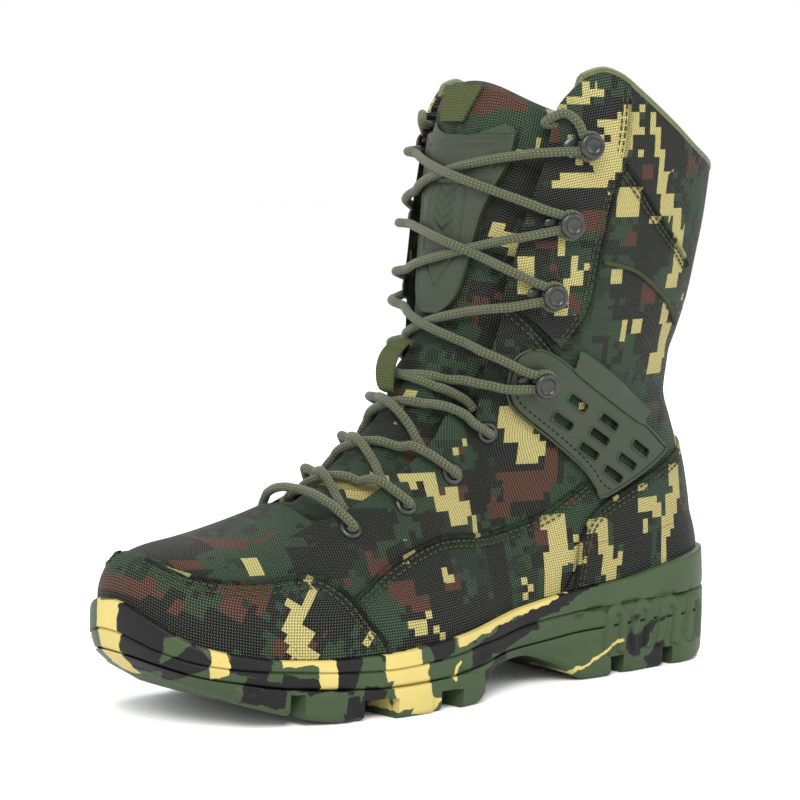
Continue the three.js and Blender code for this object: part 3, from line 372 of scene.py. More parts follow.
def grid_normals(rows, closed=True):
    """Outward direction at each point of rows that run round."""
    normals = []
    for i, row in enumerate(rows):
        below = rows[max(0, i - 1)]
        above = rows[min(len(rows) - 1, i + 1)]
        count = len(row) - 1
        line = []
        for k in range(len(row)):
            before = (k - 1) % count if closed else max(0, k - 1)
            after = (k + 1) % count if closed else min(count, k + 1)
            line.append((above[k] - below[k]).cross(row[after] - row[before]).normalized())
        normals.append(line)
    return normals


# Creases of the cloth in side view: from, to, half width and depth; a negative depth is a ridge
CREASES = [
    ((152, 92), (128, 72), 5.5, 1.3),
    ((141, 104), (112, 86), 5.0, 1.1),
    ((120, 92), (98, 76), 5.0, 0.9),
    ((150, 76), (176, 71), 4.5, -0.7),
    ((40, 122), (70, 128), 6.0, 1.4),
    ((34, 110), (58, 118), 5.0, -0.9),
    ((30, 140), (48, 150), 6.0, 1.2),
    ((96, 196), (88, 232), 7.0, 0.9),
    ((60, 214), (34, 204), 8.0, 1.1),
    ((70, 190), (46, 176), 7.0, -0.9),
    ((228, 62), (196, 56), 7.0, 0.8),
    ((262, 60), (236, 66), 8.0, -0.7),
]


def crease_depth(x, z):
    depth = 0.0
    for (x0, z0), (x1, z1), wide, deep in CREASES:
        length = math.hypot(x1 - x0, z1 - z0)
        ux, uz = (x1 - x0) / length, (z1 - z0) / length
        along = (x - x0) * ux + (z - z0) * uz
        off = abs((z - z0) * ux - (x - x0) * uz)
        if off < 3 * wide and -wide < along < length + wide:
            taper = ease(along, -wide, wide * 1.5) * ease(length - along, -wide, wide * 1.5)
            depth += deep * taper * bell(off, wide)
    return depth


def upper_grid():
    rows = [
        sole_ring(SEATED, lambda x: bed_line(x) + GAP),
        sole_ring(SEATED, lambda x: lip_line(x) + LIP_CLEAR / 2),
    ]
    rows += [upper_row((row / ROWS) ** ROW_SPREAD) for row in range(1, ROWS + 1)]
    normals = grid_normals(rows)
    for i, row in enumerate(rows[2:], 2):
        for k, point in enumerate(row):
            near_edge = 1 - ease(point.z / HEIGHT, *SMOOTH_COLLAR)
            row[k] = point - normals[i][k] * crease_depth(point.x, point.z) * near_edge
    return rows, grid_normals(rows)


upper_rows, upper_normals = upper_grid()


def finish_piece(piece, name, material=None, replaces=()):
    """Names a piece, gives it its material and lets it ride on the boot's one body."""
    piece.name = name
    if material:
        piece.data.materials.clear()
        piece.data.materials.append(material)
    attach(piece, "root")
    if replaces:
        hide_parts(*replaces)
    return piece


MERGE_WITHIN = 1e-6  # metres


def alone(piece):
    bpy.ops.object.select_all(action="DESELECT")
    piece.select_set(True)
    bpy.context.view_layer.objects.active = piece


def apply_modifier(piece, kind, **values):
    alone(piece)
    modifier = piece.modifiers.new(kind.lower(), kind)
    for key, value in values.items():
        setattr(modifier, key, value)
    bpy.ops.object.modifier_apply(modifier=modifier.name)


def edit(piece, *steps):
    """Runs edit-mode operators on the whole of a piece."""
    alone(piece)
    bpy.ops.object.mode_set(mode="EDIT")
    bpy.ops.mesh.select_all(action="SELECT")
    for operator, values in steps:
        operator(**values)
    bpy.ops.object.mode_set(mode="OBJECT")


def lay_grid(rows):
    """A grid primitive with its points laid on rows of places, and its UV map in metres."""
    bpy.ops.object.select_all(action="DESELECT")
    across = len(rows[0])
    bpy.ops.mesh.primitive_grid_add(x_subdivisions=across - 1, y_subdivisions=len(rows) - 1, size=1)
    piece = bpy.context.object
    mesh = piece.data
    flat = []
    for row in rows:
        for point in row:
            flat.extend(put(*point))
    mesh.vertices.foreach_set("co", flat)
    along = []
    up = [0.0] * across
    for i, row in enumerate(rows):
        run = 0.0
        line = []
        for k, point in enumerate(row):
            if k:
                run += (point - row[k - 1]).length
            if i:
                up[k] += (point - rows[i - 1][k]).length
            line.append((run * MM, up[k] * MM))
        along.extend(line)
    uv = mesh.uv_layers[0].data
    for loop in mesh.loops:
        uv[loop.index].uv = along[loop.vertex_index]
    edit(piece, (bpy.ops.mesh.flip_normals, {}))
    bpy.ops.object.shade_smooth()
    return piece


def merge(piece):
    """Joins points that share a place."""
    edit(piece, (bpy.ops.mesh.remove_doubles, {"threshold": MERGE_WITHIN}))


def face_outwards(piece):
    edit(piece, (bpy.ops.mesh.normals_make_consistent, {"inside": False}))


def weld(piece):
    merge(piece)
    face_outwards(piece)
    return piece


def smooth_by_angle(piece, degrees):
    alone(piece)
    bpy.ops.object.shade_smooth_by_angle(angle=math.radians(degrees))


def bevel(piece, width, degrees):
    apply_modifier(
        piece, "BEVEL", width=width * MM, segments=2, limit_method="ANGLE", angle_limit=math.radians(degrees)
    )


def prism(outline, axis, start, end):
    """Solid of an outline of pairs, pushed along the axis that the pairs leave out."""
    def place(a, b, depth):
        return put(*{"X": (depth, a, b), "Y": (a, depth, b), "Z": (a, b, depth)}[axis])

    bpy.ops.object.select_all(action="DESELECT")
    bpy.ops.mesh.primitive_circle_add(vertices=len(outline), fill_type="NGON", radius=1)
    piece = bpy.context.object
    for vertex, (a, b) in zip(piece.data.vertices, outline):
        vertex.co = place(a, b, start)
    push = place(0, 0, end) - place(0, 0, start)
    edit(
        piece,
        (bpy.ops.mesh.extrude_region_move, {"TRANSFORM_OT_translate": {"value": push}}),
        (bpy.ops.mesh.select_all, {"action": "SELECT"}),
        (bpy.ops.mesh.normals_make_consistent, {"inside": False}),
    )
    return piece


def through_side(outline, side):
    """Solid of an outline in side view, through one side of the boot, or both where side is 0."""
    return prism(outline, "Y", 0 if side > 0 else -REACH, 0 if side < 0 else REACH)


def cut(piece, cutter, operation="DIFFERENCE"):
    apply_modifier(piece, "BOOLEAN", operation=operation, solver="EXACT", object=cutter)
    bpy.data.objects.remove(cutter)


THROAT_BACK = 0.3  # share of LENGTH, behind the throat
PUNCH = 3.2  # radius of an eyelet's hole through the cloth
VAMP_TOP = 128  # height below which the canvas takes the vamp's print


def throat_half(z):
    return throat_of(z / HEIGHT) * SHAFT_HALF


def throat_cutter():
    edge = [(half * SHAFT_HALF, at * HEIGHT) for at, half in THROAT_FOOT + THROAT]
    inner = [(-y, z) for y, z in reversed(edge[1:])]
    return prism(edge + inner, "X", LENGTH * THROAT_BACK, LENGTH)


def make_upper(high_print, low_print, inside):
    piece = lay_grid(upper_rows)
    merge(piece)
    for cloth in (high_print, inside, low_print):
        piece.data.materials.append(cloth)
    apply_modifier(
        piece, "SOLIDIFY", thickness=WALL * MM, offset=-1, use_even_offset=False, material_offset=1
    )
    cut(piece, throat_cutter())
    for at, rise, _ in EYELETS:
        for side in SIDES:
            seat, out = on_side(at * LENGTH, rise * HEIGHT, side)
            bpy.ops.object.select_all(action="DESELECT")
            bpy.ops.mesh.primitive_cylinder_add(radius=PUNCH * MM, depth=5 * WALL * MM, location=put(*seat))
            punch = bpy.context.object
            punch.rotation_euler = out.to_track_quat("Z", "Y").to_euler()
            cut(piece, punch)
    smooth_by_angle(piece, 40)
    for face in piece.data.polygons:
        if face.material_index == 0 and face.center.z < VAMP_TOP * MM:
            face.material_index = 2
    return finish_piece(piece, "upper_canvas", None, ["upper"])


def on_side(x, z, side):
    """Place and outward direction on the side of the upper."""
    def point(a, b):
        return Vector((a, upper_centre(a, b) + side * upper_half(a, b), b))

    forward = point(x + 2, z) - point(x - 2, z)
    up = point(x, z + 2) - point(x, z - 2)
    out = (up.cross(forward) * side).normalized()
    return point(x, z), out


# Floor, lights and background
PAPER_WHITE = (254, 254, 254)
FLOOR_WIDE = 12
LIT_PLACE = Vector((0, 0, 0.12))
LAMPS = [
    ("key_light", (0.9, 1.1, 1.3), 0.9, 34),
    ("fill_light", (1.4, -0.6, 0.9), 1.0, 8),
    ("back_light", (-1.1, -0.8, 1.2), 1.0, 14),
    ("side_light", (-0.7, 1.4, 0.7), 0.9, 8),
]


def plain_material(name, colour, roughness):
    material = bpy.data.materials.new(name)
    material.use_nodes = True
    shader = material.node_tree.nodes["Principled BSDF"]
    shader.inputs["Base Color"].default_value = paint(*colour)
    shader.inputs["Roughness"].default_value = roughness
    return material


def paint(red, green, blue):
    """Colour of a shader socket from the eye's 0 to 255 values."""
    def linear(value):
        value /= 255
        return value / 12.92 if value <= 0.04045 else ((value + 0.055) / 1.055) ** 2.4

    return (linear(red), linear(green), linear(blue), 1.0)


def add_studio():
    bpy.ops.object.select_all(action="DESELECT")
    bpy.ops.mesh.primitive_plane_add(size=FLOOR_WIDE, location=(0, 0, 0))
    floor = bpy.context.object
    floor.name = "floor"
    floor.data.materials.append(plain_material("floor_paint", PAPER_WHITE, 0.7))
    world = bpy.data.worlds.new("studio")
    world.use_nodes = True
    world.node_tree.nodes["Background"].inputs["Color"].default_value = (1, 1, 1, 1)
    world.node_tree.nodes["Background"].inputs["Strength"].default_value = 1.0
    bpy.context.scene.view_settings.view_transform = "Standard"
    bpy.context.scene.world = world
    for name, place, size, power in LAMPS:
        bpy.ops.object.light_add(type="AREA", location=place)
        lamp = bpy.context.object
        lamp.name = name
        lamp.data.size = size
        lamp.data.energy = power
        lamp.rotation_euler = (LIT_PLACE - Vector(place)).to_track_quat("-Z", "Y").to_euler()


# Shader groups


def new_group(name, inputs, outputs):
    group = bpy.data.node_groups.new(name, "ShaderNodeTree")
    for label, kind, value in inputs:
        socket = group.interface.new_socket(label, in_out="INPUT", socket_type=f"NodeSocket{kind}")
        if value is not None:
            socket.default_value = value
    for label, kind in outputs:
        group.interface.new_socket(label, in_out="OUTPUT", socket_type=f"NodeSocket{kind}")
    return group, Tree(group)


class Tree:
    """Adds nodes to a node tree and wires them by name."""

    def __init__(self, tree):
        self.tree = tree
        self.nodes = tree.nodes
        self.start = None
        self.end = None

    def node(self, kind, **values):
        node = self.nodes.new(f"ShaderNode{kind}")
        for key, value in values.items():
            setattr(node, key, value)
        return node

    def wire(self, value, socket):
        if isinstance(value, bpy.types.NodeSocket):
            self.tree.links.new(value, socket)
        else:
            socket.default_value = value

    def math(self, operation, *values):
        node = self.node("Math", operation=operation)
        for value, socket in zip(values, node.inputs):
            self.wire(value, socket)
        return node.outputs[0]

    def vector(self, operation, *values):
        node = self.node("VectorMath", operation=operation)
        for value, socket in zip(values, node.inputs):
            self.wire(value, socket)
        return node.outputs["Value"] if operation in ("LENGTH", "DISTANCE") else node.outputs[0]

    def blend(self, share, low, high, kind="MIX"):
        node = self.node("Mix", data_type="RGBA", blend_type=kind)
        self.wire(share, node.inputs["Factor"])
        self.wire(low, node.inputs[6])
        self.wire(high, node.inputs[7])
        return node.outputs[2]

    def ramp(self, value, low, high):
        """0 below low, 1 above high and smooth between."""
        node = self.node("MapRange", interpolation_type="SMOOTHSTEP")
        self.wire(value, node.inputs["Value"])
        node.inputs["From Min"].default_value = low
        node.inputs["From Max"].default_value = high
        return node.outputs["Result"]

    def sloped(self, value, slope, start):
        """A value times a slope, counted from a start."""
        return self.math("ADD", start, self.math("MULTIPLY", value, slope))

    def shaded(self, colour, value):
        """A colour made lighter or darker by a value."""
        grey = self.node("CombineColor")
        for socket in grey.inputs:
            self.wire(value, socket)
        return self.blend(1.0, colour, grey.outputs[0], "MULTIPLY")

    def noise(self, vector, scale, detail=2.0, roughness=0.5):
        node = self.node("TexNoise")
        self.wire(vector, node.inputs["Vector"])
        node.inputs["Scale"].default_value = scale
        node.inputs["Detail"].default_value = detail
        node.inputs["Roughness"].default_value = roughness
        return node.outputs["Fac"]

    def place(self, group, **values):
        node = self.node("Group", node_tree=group)
        for key, value in values.items():
            self.wire(value, node.inputs[key.replace("_", " ")])
        return node

    def inputs(self):
        if self.start is None:
            self.start = self.nodes.new("NodeGroupInput")
        return self.start.outputs

    def outputs(self):
        if self.end is None:
            self.end = self.nodes.new("NodeGroupOutput")
        return self.end.inputs


def patch_group():
    """Squared patch: 1 at its middle, 0 at its rim and less outside."""
    group, tree = new_group(
        "patch",
        [("Vector", "Vector", None), ("Centre", "Vector", None), ("Size", "Vector", (0.01, 0.01, 0.01)),
         ("Turn", "Float", 0.0)],
        [("Value", "Float")],
    )
    given = tree.inputs()
    moved = tree.vector("SUBTRACT", given["Vector"], given["Centre"])
    turned = tree.node("VectorRotate", rotation_type="Y_AXIS")
    tree.wire(moved, turned.inputs["Vector"])
    tree.wire(given["Turn"], turned.inputs["Angle"])
    scaled = tree.node("SeparateXYZ")
    shares = tree.vector("DIVIDE", turned.outputs[0], given["Size"])
    tree.wire(tree.vector("ABSOLUTE", shares), scaled.inputs[0])
    furthest = tree.math("MAXIMUM", *scaled.outputs[:2])
    furthest = tree.math("MAXIMUM", furthest, scaled.outputs[2])
    tree.wire(tree.math("SUBTRACT", 1.0, furthest), tree.outputs()["Value"])
    return group


def blocks_group():
    """Coordinates and random values of the camouflage's square blocks."""
    group, tree = new_group(
        "camouflage_blocks",
        [("Vector", "Vector", None), ("Block", "Float", 0.0034)],
        [("Vector", "Vector"), ("Broad", "Float"), ("Middle", "Float"), ("Single", "Float")],
    )
    given = tree.inputs()
    step = tree.node("CombineXYZ")
    for socket in step.inputs:
        tree.wire(given["Block"], socket)
    snapped = tree.vector("SNAP", given["Vector"], step.outputs[0])
    broad = tree.noise(snapped, 26, 2.0, 0.6)
    middle = tree.noise(tree.vector("ADD", snapped, (3.1, 1.7, 0.4)), 44, 2.0, 0.6)
    single = tree.node("TexWhiteNoise", noise_dimensions="3D")
    tree.wire(snapped, single.inputs["Vector"])
    out = tree.outputs()
    tree.wire(snapped, out["Vector"])
    tree.wire(broad, out["Broad"])
    tree.wire(middle, out["Middle"])
    tree.wire(single.outputs["Value"], out["Single"])
    return group


def weave_group():
    """Plain weave from a piece's UV map: height of the threads and a mask of the gaps between."""
    group, tree = new_group(
        "weave",
        [("Vector", "Vector", None), ("Pitch", "Float", 0.0012)],
        [("Height", "Float"), ("Gap", "Float")],
    )
    given = tree.inputs()
    step = tree.math("DIVIDE", 2 * math.pi, given["Pitch"])
    parts = tree.node("SeparateXYZ")
    tree.wire(given["Vector"], parts.inputs[0])
    along = tree.math("MULTIPLY", parts.outputs[0], step)
    across = tree.math("MULTIPLY", parts.outputs[1], step)
    half_along = tree.math("MULTIPLY", along, 0.5)
    half_across = tree.math("MULTIPLY", across, 0.5)
    checks = tree.math("MULTIPLY", tree.math("SINE", half_along), tree.math("SINE", half_across))
    over = tree.ramp(checks, -0.25, 0.25)
    warp = tree.math("ABSOLUTE", tree.math("SINE", half_across))
    weft = tree.math("ABSOLUTE", tree.math("SINE", half_along))
    under = tree.math("SUBTRACT", 1.0, over)
    height = tree.math("ADD", tree.math("MULTIPLY", warp, over), tree.math("MULTIPLY", weft, under))
    out = tree.outputs()
    tree.wire(height, out["Height"])
    tree.wire(tree.ramp(height, 0.55, 0.1), out["Gap"])
    return group


def braid_group():
    """Round braid from a cord's UV map: metres along it, and one turn round it."""
    group, tree = new_group(
        "braid",
        [("Vector", "Vector", None), ("Pitch", "Float", 0.0044), ("Strands", "Float", 5.0)],
        [("Height", "Float"), ("Highlight", "Float"), ("Gap", "Float")],
    )
    given = tree.inputs()
    parts = tree.node("SeparateXYZ")
    tree.wire(given["Vector"], parts.inputs[0])
    along = tree.math("DIVIDE", parts.outputs[0], given["Pitch"])
    turn = tree.math("MULTIPLY", parts.outputs[1], given["Strands"])
    left = tree.math("SINE", tree.math("MULTIPLY", tree.math("ADD", turn, along), 2 * math.pi))
    right = tree.math("SINE", tree.math("MULTIPLY", tree.math("SUBTRACT", turn, along), 2 * math.pi))
    height = tree.math("MAXIMUM", tree.math("ABSOLUTE", left), tree.math("ABSOLUTE", right))
    cells = tree.math("MULTIPLY", left, right)
    out = tree.outputs()
    tree.wire(height, out["Height"])
    # Masks of painted highlights where both strands crest, and of painted shade in the gaps between strands
    tree.wire(tree.ramp(cells, 0.35, 0.8), out["Highlight"])
    tree.wire(tree.ramp(height, 0.75, 0.35), out["Gap"])
    return group


def wear_group():
    """Fine grain and broad clouds of a moulded or painted surface, from object coordinates."""
    group, tree = new_group(
        "moulded_grain",
        [("Vector", "Vector", None), ("Scale", "Float", 900.0)],
        [("Grain", "Float"), ("Cloud", "Float")],
    )
    given = tree.inputs()
    grain = tree.node("TexNoise")
    tree.wire(given["Vector"], grain.inputs["Vector"])
    tree.wire(given["Scale"], grain.inputs["Scale"])
    out = tree.outputs()
    tree.wire(grain.outputs["Fac"], out["Grain"])
    tree.wire(tree.noise(given["Vector"], 60, 3), out["Cloud"])
    return group


PATCH = patch_group()
BLOCKS = blocks_group()
WEAVE = weave_group()
BRAID = braid_group()
MOULDED = wear_group()

# Colours as the eye's values
FIELD_GREEN = (27, 42, 29)
DEEP_GREEN = (18, 27, 20)
SOIL_BLACK = (13, 11, 12)
RUST_BROWN = (58, 32, 25)
SAND = (142, 133, 84)
SOLE_GREEN = (52, 66, 43)
SOLE_BLACK = (19, 18, 19)
SOLE_YELLOW = (174, 158, 94)
PLATE_GREEN = (38, 48, 31)
LACE_OLIVE = (56, 62, 36)
# Painted highlight colour on the lace's strand crests
LACE_HIGHLIGHT = (104, 107, 70)
GUNMETAL = (52, 54, 52)
LINING_BLACK = (30, 31, 30)
# Painted highlight colour on the canvas's thread crests
THREAD_HIGHLIGHT = (146, 156, 136)
THREAD_DARK = (70, 78, 56)
# Painted shade colour between a braid's strands
BRAID_GAP_SHADE = (40, 44, 30)
CORD_OLIVE = (86, 92, 56)
# Painted highlight colour on the collar cord's strand crests
CORD_HIGHLIGHT = (132, 136, 92)
WEBBING_OLIVE = (70, 76, 46)


def material_tree(name):
    material = bpy.data.materials.new(name)
    material.use_nodes = True
    shader = material.node_tree.nodes["Principled BSDF"]
    shader.inputs["Specular IOR Level"].default_value = 0.3
    return material, Tree(material.node_tree), shader


def add_bump(tree, shader, height, distance, strength=1.0):
    bump = tree.node("Bump")
    bump.inputs["Strength"].default_value = strength
    bump.inputs["Distance"].default_value = distance
    tree.wire(height, bump.inputs["Height"])
    tree.wire(bump.outputs[0], shader.inputs["Normal"])


MIRRORED_FROM = 20  # patches centred further out than this are repeated on the inner side
PATCH_ENDS = (0, 30)  # turn and half depth of a patch whose row stops before them


def patches(tree, where, table):
    """Highest value of the patches (x, y, z, half length, half height, turn, half depth) at a place."""
    parts = tree.node("SeparateXYZ")
    tree.wire(where, parts.inputs[0])
    mirrored = tree.node("CombineXYZ")
    tree.wire(parts.outputs[0], mirrored.inputs[0])
    tree.wire(tree.math("ABSOLUTE", parts.outputs[1]), mirrored.inputs[1])
    tree.wire(parts.outputs[2], mirrored.inputs[2])
    total = -1.0
    for row in table:
        x, y, z, long, high, angle, deep = row + PATCH_ENDS[len(row) - 5:]
        patch = tree.place(
            PATCH,
            Vector=mirrored.outputs[0] if y > MIRRORED_FROM else where,
            Centre=tuple(put(x, y, z)),
            Size=(long * MM, deep * MM, high * MM),
            Turn=math.radians(angle),
        )
        total = tree.math("MAXIMUM", total, patch.outputs["Value"])
    return total


# How the print breaks up: its patches' ragged edges and specks, the green's deep share, the noises
RAGGED = 0.9
RAGGED_MIDDLE = 0.42
SPECK = 0.12
DEEP_FROM = 0.56
RUST_NOISE = ((0.7, 0.2, 0.9), 34, 3, 0.6)
SAND_NOISE = ((5.3, 2.2, 1.9), 26, 2, 0.5)
# Painted light and shade of the weave over the print: thread crests painted lighter, hollows painted darker,
# painted highlights on the highest crests
WEAVE_CONTRAST = 1.5
WEAVE_LIGHT = 0.92
HIGHLIGHT_SHARE = 0.16


def camouflage(name, sand=(), rust=(), dark=(), turn=(0, 0, 0), block=3.2, shares=(0.7, 0.66, 0.52)):
    """Canvas printed with square blocks of sand, rust and black on green."""
    material, tree, shader = material_tree(name)
    place = tree.node("TexCoord")
    mapping = tree.node("Mapping", vector_type="POINT")
    tree.wire(place.outputs["Object"], mapping.inputs["Vector"])
    mapping.inputs["Rotation"].default_value = turn
    blocks = tree.place(BLOCKS, Vector=mapping.outputs[0], Block=block * MM)
    back = tree.node("Mapping", vector_type="TEXTURE")
    tree.wire(blocks.outputs["Vector"], back.inputs["Vector"])
    back.inputs["Rotation"].default_value = turn
    where = tree.vector("ADD", back.outputs[0], (block * MM / 2, 0, block * MM / 2))

    ragged = tree.math("MULTIPLY", tree.math("SUBTRACT", blocks.outputs["Middle"], RAGGED_MIDDLE), RAGGED)
    speck = tree.math("MULTIPLY", tree.math("SUBTRACT", blocks.outputs["Single"], 0.5), SPECK)
    edge = tree.math("ADD", ragged, speck)

    def chosen(table, value, share):
        free = tree.math("SUBTRACT", tree.math("ADD", value, speck), share)
        if table:
            free = tree.math("MAXIMUM", free, tree.math("ADD", patches(tree, where, table), edge))
        return tree.math("GREATER_THAN", free, 0.0)

    sand_share, rust_share, dark_share = shares
    rust_noise, sand_noise = (
        tree.noise(tree.vector("ADD", where, shift), *settings)
        for shift, *settings in (RUST_NOISE, SAND_NOISE)
    )
    deep = tree.math("GREATER_THAN", tree.math("ADD", blocks.outputs["Middle"], speck), DEEP_FROM)
    colour = tree.blend(deep, paint(*FIELD_GREEN), paint(*DEEP_GREEN))
    colour = tree.blend(chosen(dark, blocks.outputs["Broad"], dark_share), colour, paint(*SOIL_BLACK))
    colour = tree.blend(chosen(rust, rust_noise, rust_share), colour, paint(*RUST_BROWN))
    colour = tree.blend(chosen(sand, sand_noise, sand_share), colour, paint(*SAND))

    weave = tree.place(WEAVE, Vector=place.outputs["UV"])
    # Painted light and shade: the threads' crests painted lighter and the hollows between them painted
    # darker
    painted_light = tree.math("MULTIPLY", tree.math("SUBTRACT", weave.outputs["Height"], 0.5), WEAVE_CONTRAST)
    shade = tree.math("ADD", WEAVE_LIGHT, painted_light)
    colour = tree.shaded(colour, shade)
    # Painted highlights on the highest thread crests
    crest_highlight = tree.math("MULTIPLY", tree.ramp(weave.outputs["Height"], 0.82, 1.0), HIGHLIGHT_SHARE)
    colour = tree.blend(crest_highlight, colour, paint(*THREAD_HIGHLIGHT))
    tree.wire(colour, shader.inputs["Base Color"])
    shader.inputs["Roughness"].default_value = 0.55
    shader.inputs["Specular IOR Level"].default_value = 0.08
    add_bump(tree, shader, weave.outputs["Height"], 0.00035)
    return material


def marbled_rubber(name, yellow, black, green=()):
    """Green rubber with poured bands of yellow and black."""
    material, tree, shader = material_tree(name)
    place = tree.node("TexCoord").outputs["Object"]
    swirl = tree.node("TexNoise")
    tree.wire(place, swirl.inputs["Vector"])
    swirl.inputs["Scale"].default_value = 130
    swirl.inputs["Detail"].default_value = 4
    shift = tree.vector("SUBTRACT", swirl.outputs["Color"], (0.5, 0.5, 0.5))
    shift = tree.vector("MULTIPLY", shift, (0.006, 0.006, 0.006))
    where = tree.vector("ADD", place, shift)
    clouds = tree.noise(where, 34, 1, 0.4)
    cloudy = tree.math("MULTIPLY", tree.math("SUBTRACT", clouds, 0.68), 6.0)
    black_mask = tree.ramp(tree.math("MAXIMUM", patches(tree, where, black), cloudy), 0, 0.04)
    yellow_mask = tree.ramp(patches(tree, where, yellow), 0, 0.05)
    colour = tree.blend(black_mask, paint(*SOLE_GREEN), paint(*SOLE_BLACK))
    if green:
        colour = tree.blend(tree.ramp(patches(tree, where, green), 0, 0.05), colour, paint(*SOLE_GREEN))
    colour = tree.blend(yellow_mask, colour, paint(*SOLE_YELLOW))
    grain = tree.place(MOULDED, Vector=place)
    shade = tree.sloped(grain.outputs["Cloud"], 0.32, 0.84)
    colour = tree.shaded(colour, shade)
    tree.wire(colour, shader.inputs["Base Color"])
    tree.wire(tree.sloped(grain.outputs["Cloud"], 0.3, 0.38), shader.inputs["Roughness"])
    shader.inputs["Specular IOR Level"].default_value = 0.18
    add_bump(tree, shader, grain.outputs["Grain"], 0.00012)
    return material


def moulded(name, colour, roughness=0.5, grain=0.00008):
    material, tree, shader = material_tree(name)
    place = tree.node("TexCoord").outputs["Object"]
    surface = tree.place(MOULDED, Vector=place)
    shade = tree.sloped(surface.outputs["Cloud"], 0.3, 0.85)
    tree.wire(tree.shaded(paint(*colour), shade), shader.inputs["Base Color"])
    tree.wire(tree.sloped(surface.outputs["Cloud"], 0.2, roughness - 0.1), shader.inputs["Roughness"])
    add_bump(tree, shader, surface.outputs["Grain"], grain)
    return material


def dark_metal(name):
    material = moulded(name, GUNMETAL, 0.34, 0.00003)
    shader = material.node_tree.nodes["Principled BSDF"]
    shader.inputs["Metallic"].default_value = 0.75
    shader.inputs["Coat Weight"].default_value = 0.25
    shader.inputs["Coat Roughness"].default_value = 0.2
    return material


def braided(name, pitch=3.6, strands=5.0, dark=LACE_OLIVE, painted_light=LACE_HIGHLIGHT):
    material, tree, shader = material_tree(name)
    uv = tree.node("TexCoord").outputs["UV"]
    braid = tree.place(BRAID, Vector=uv, Pitch=pitch * MM, Strands=strands)
    # Painted highlights on the strand crests, then painted shade in the gaps between the strands
    colour = tree.blend(braid.outputs["Highlight"], paint(*dark), paint(*painted_light))
    colour = tree.blend(tree.math("MULTIPLY", braid.outputs["Gap"], 0.7), colour, paint(*BRAID_GAP_SHADE))
    tree.wire(colour, shader.inputs["Base Color"])
    shader.inputs["Roughness"].default_value = 0.7
    shader.inputs["Sheen Weight"].default_value = 0.15
    add_bump(tree, shader, braid.outputs["Height"], 0.0006)
    return material


def plain_cloth(name, colour, pitch=0.9, roughness=0.8, depth=0.0003):
    material, tree, shader = material_tree(name)
    weave = tree.place(WEAVE, Vector=tree.node("TexCoord").outputs["UV"], Pitch=pitch * MM)
    # Painted shade in the gaps between the threads
    shade = tree.math("SUBTRACT", 1.1, tree.math("MULTIPLY", weave.outputs["Gap"], 0.5))
    tree.wire(tree.shaded(paint(*colour), shade), shader.inputs["Base Color"])
    shader.inputs["Roughness"].default_value = roughness
    shader.inputs["Specular IOR Level"].default_value = 0.1
    add_bump(tree, shader, weave.outputs["Height"], depth)
    return material


# Outlines of the panels in side view, shares of LENGTH and HEIGHT
TOE_CAP = [
    (0.957, 0.3), (0.956, 0.254), (0.948, 0.245), (0.935, 0.237), (0.895, 0.225), (0.843, 0.22),
    (0.801, 0.223), (0.765, 0.222), (0.738, 0.203), (0.72, 0.179), (0.703, 0.147), (0.683, 0.114),
    (0.668, 0.06), (1.05, 0.06), (1.05, 0.3),
]
COUNTER = [
    (0.317, 0.1), (0.317, 0.19), (0.312, 0.229), (0.296, 0.261), (0.273, 0.282), (0.241, 0.299),
    (0.203, 0.316), (0.151, 0.337), (0.089, 0.362), (-0.05, 0.4), (-0.05, 0.1),
]
FACING = [
    (0.267, 1.05), (0.268, 0.96), (0.27, 0.915), (0.277, 0.86), (0.293, 0.777), (0.304, 0.72),
    (0.315, 0.63), (0.328, 0.595), (0.355, 0.555), (0.41, 0.61), (0.52, 0.68), (0.52, 1.05),
]
ANKLE_PLATE = [
    (0.396, 0.555), (0.368, 0.544), (0.315, 0.505), (0.205, 0.43), (0.147, 0.38), (0.147, 0.364),
    (0.262, 0.306), (0.277, 0.318), (0.3, 0.352), (0.354, 0.404), (0.412, 0.455), (0.427, 0.479),
    (0.429, 0.5), (0.425, 0.535), (0.414, 0.55),
]
# The seam under the quarter, in millimetres, from the toe cap back to the counter
QUARTER_SEAM = [
    (224, 47), (213, 54), (204, 59.3), (194, 63.5), (184.5, 66.8), (174.2, 69.1), (163.2, 69.2),
    (152, 68.3), (140.8, 68), (132, 69), (124.4, 70.8), (112.5, 74.3), (100.5, 80.4), (90.1, 86.7),
]
SHAFT_SEAM_HIGH = [(83, 224), (72.8, 213.9), (63.8, 204.3), (53.8, 195.3), (42.7, 186.6), (33, 179)]
SHAFT_SEAM_LOW = [(91.3, 182.5), (82, 180.5), (71.7, 177.6), (58.1, 169.6), (47.2, 162.4), (35.4, 152.1)]
DIAGONAL_SEAM = [(130.7, 164.1), (119, 152.5), (108.7, 141.6)]


def in_mm(outline):
    return [(at * LENGTH, rise * HEIGHT) for at, rise in outline]


def spline_weights(t):
    """Weights of four points, to be halved, on a smooth line between the middle two."""
    return -t + 2 * t**2 - t**3, 2 - 5 * t**2 + 3 * t**3, t + 4 * t**2 - 3 * t**3, t**3 - t**2


def rounded(points, steps=4, closed=True):
    """The same line with its corners smoothed by curves through its points."""
    count = len(points)
    line = []
    for i in range(count if closed else count - 1):
        if closed:
            a, b, c, d = (points[(i + j - 1) % count] for j in range(4))
        else:
            a, b, c, d = (points[min(max(i + j - 1, 0), count - 1)] for j in range(4))
        for s in range(steps):
            weights = spline_weights(s / steps)
            line.append(tuple(sum(w * p[k] for w, p in zip(weights, (a, b, c, d))) / 2 for k in (0, 1)))
    if not closed:
        line.append(points[-1])
    return line


PATCH_SPARE = 8  # how far a sheet runs past its outline before it is trimmed


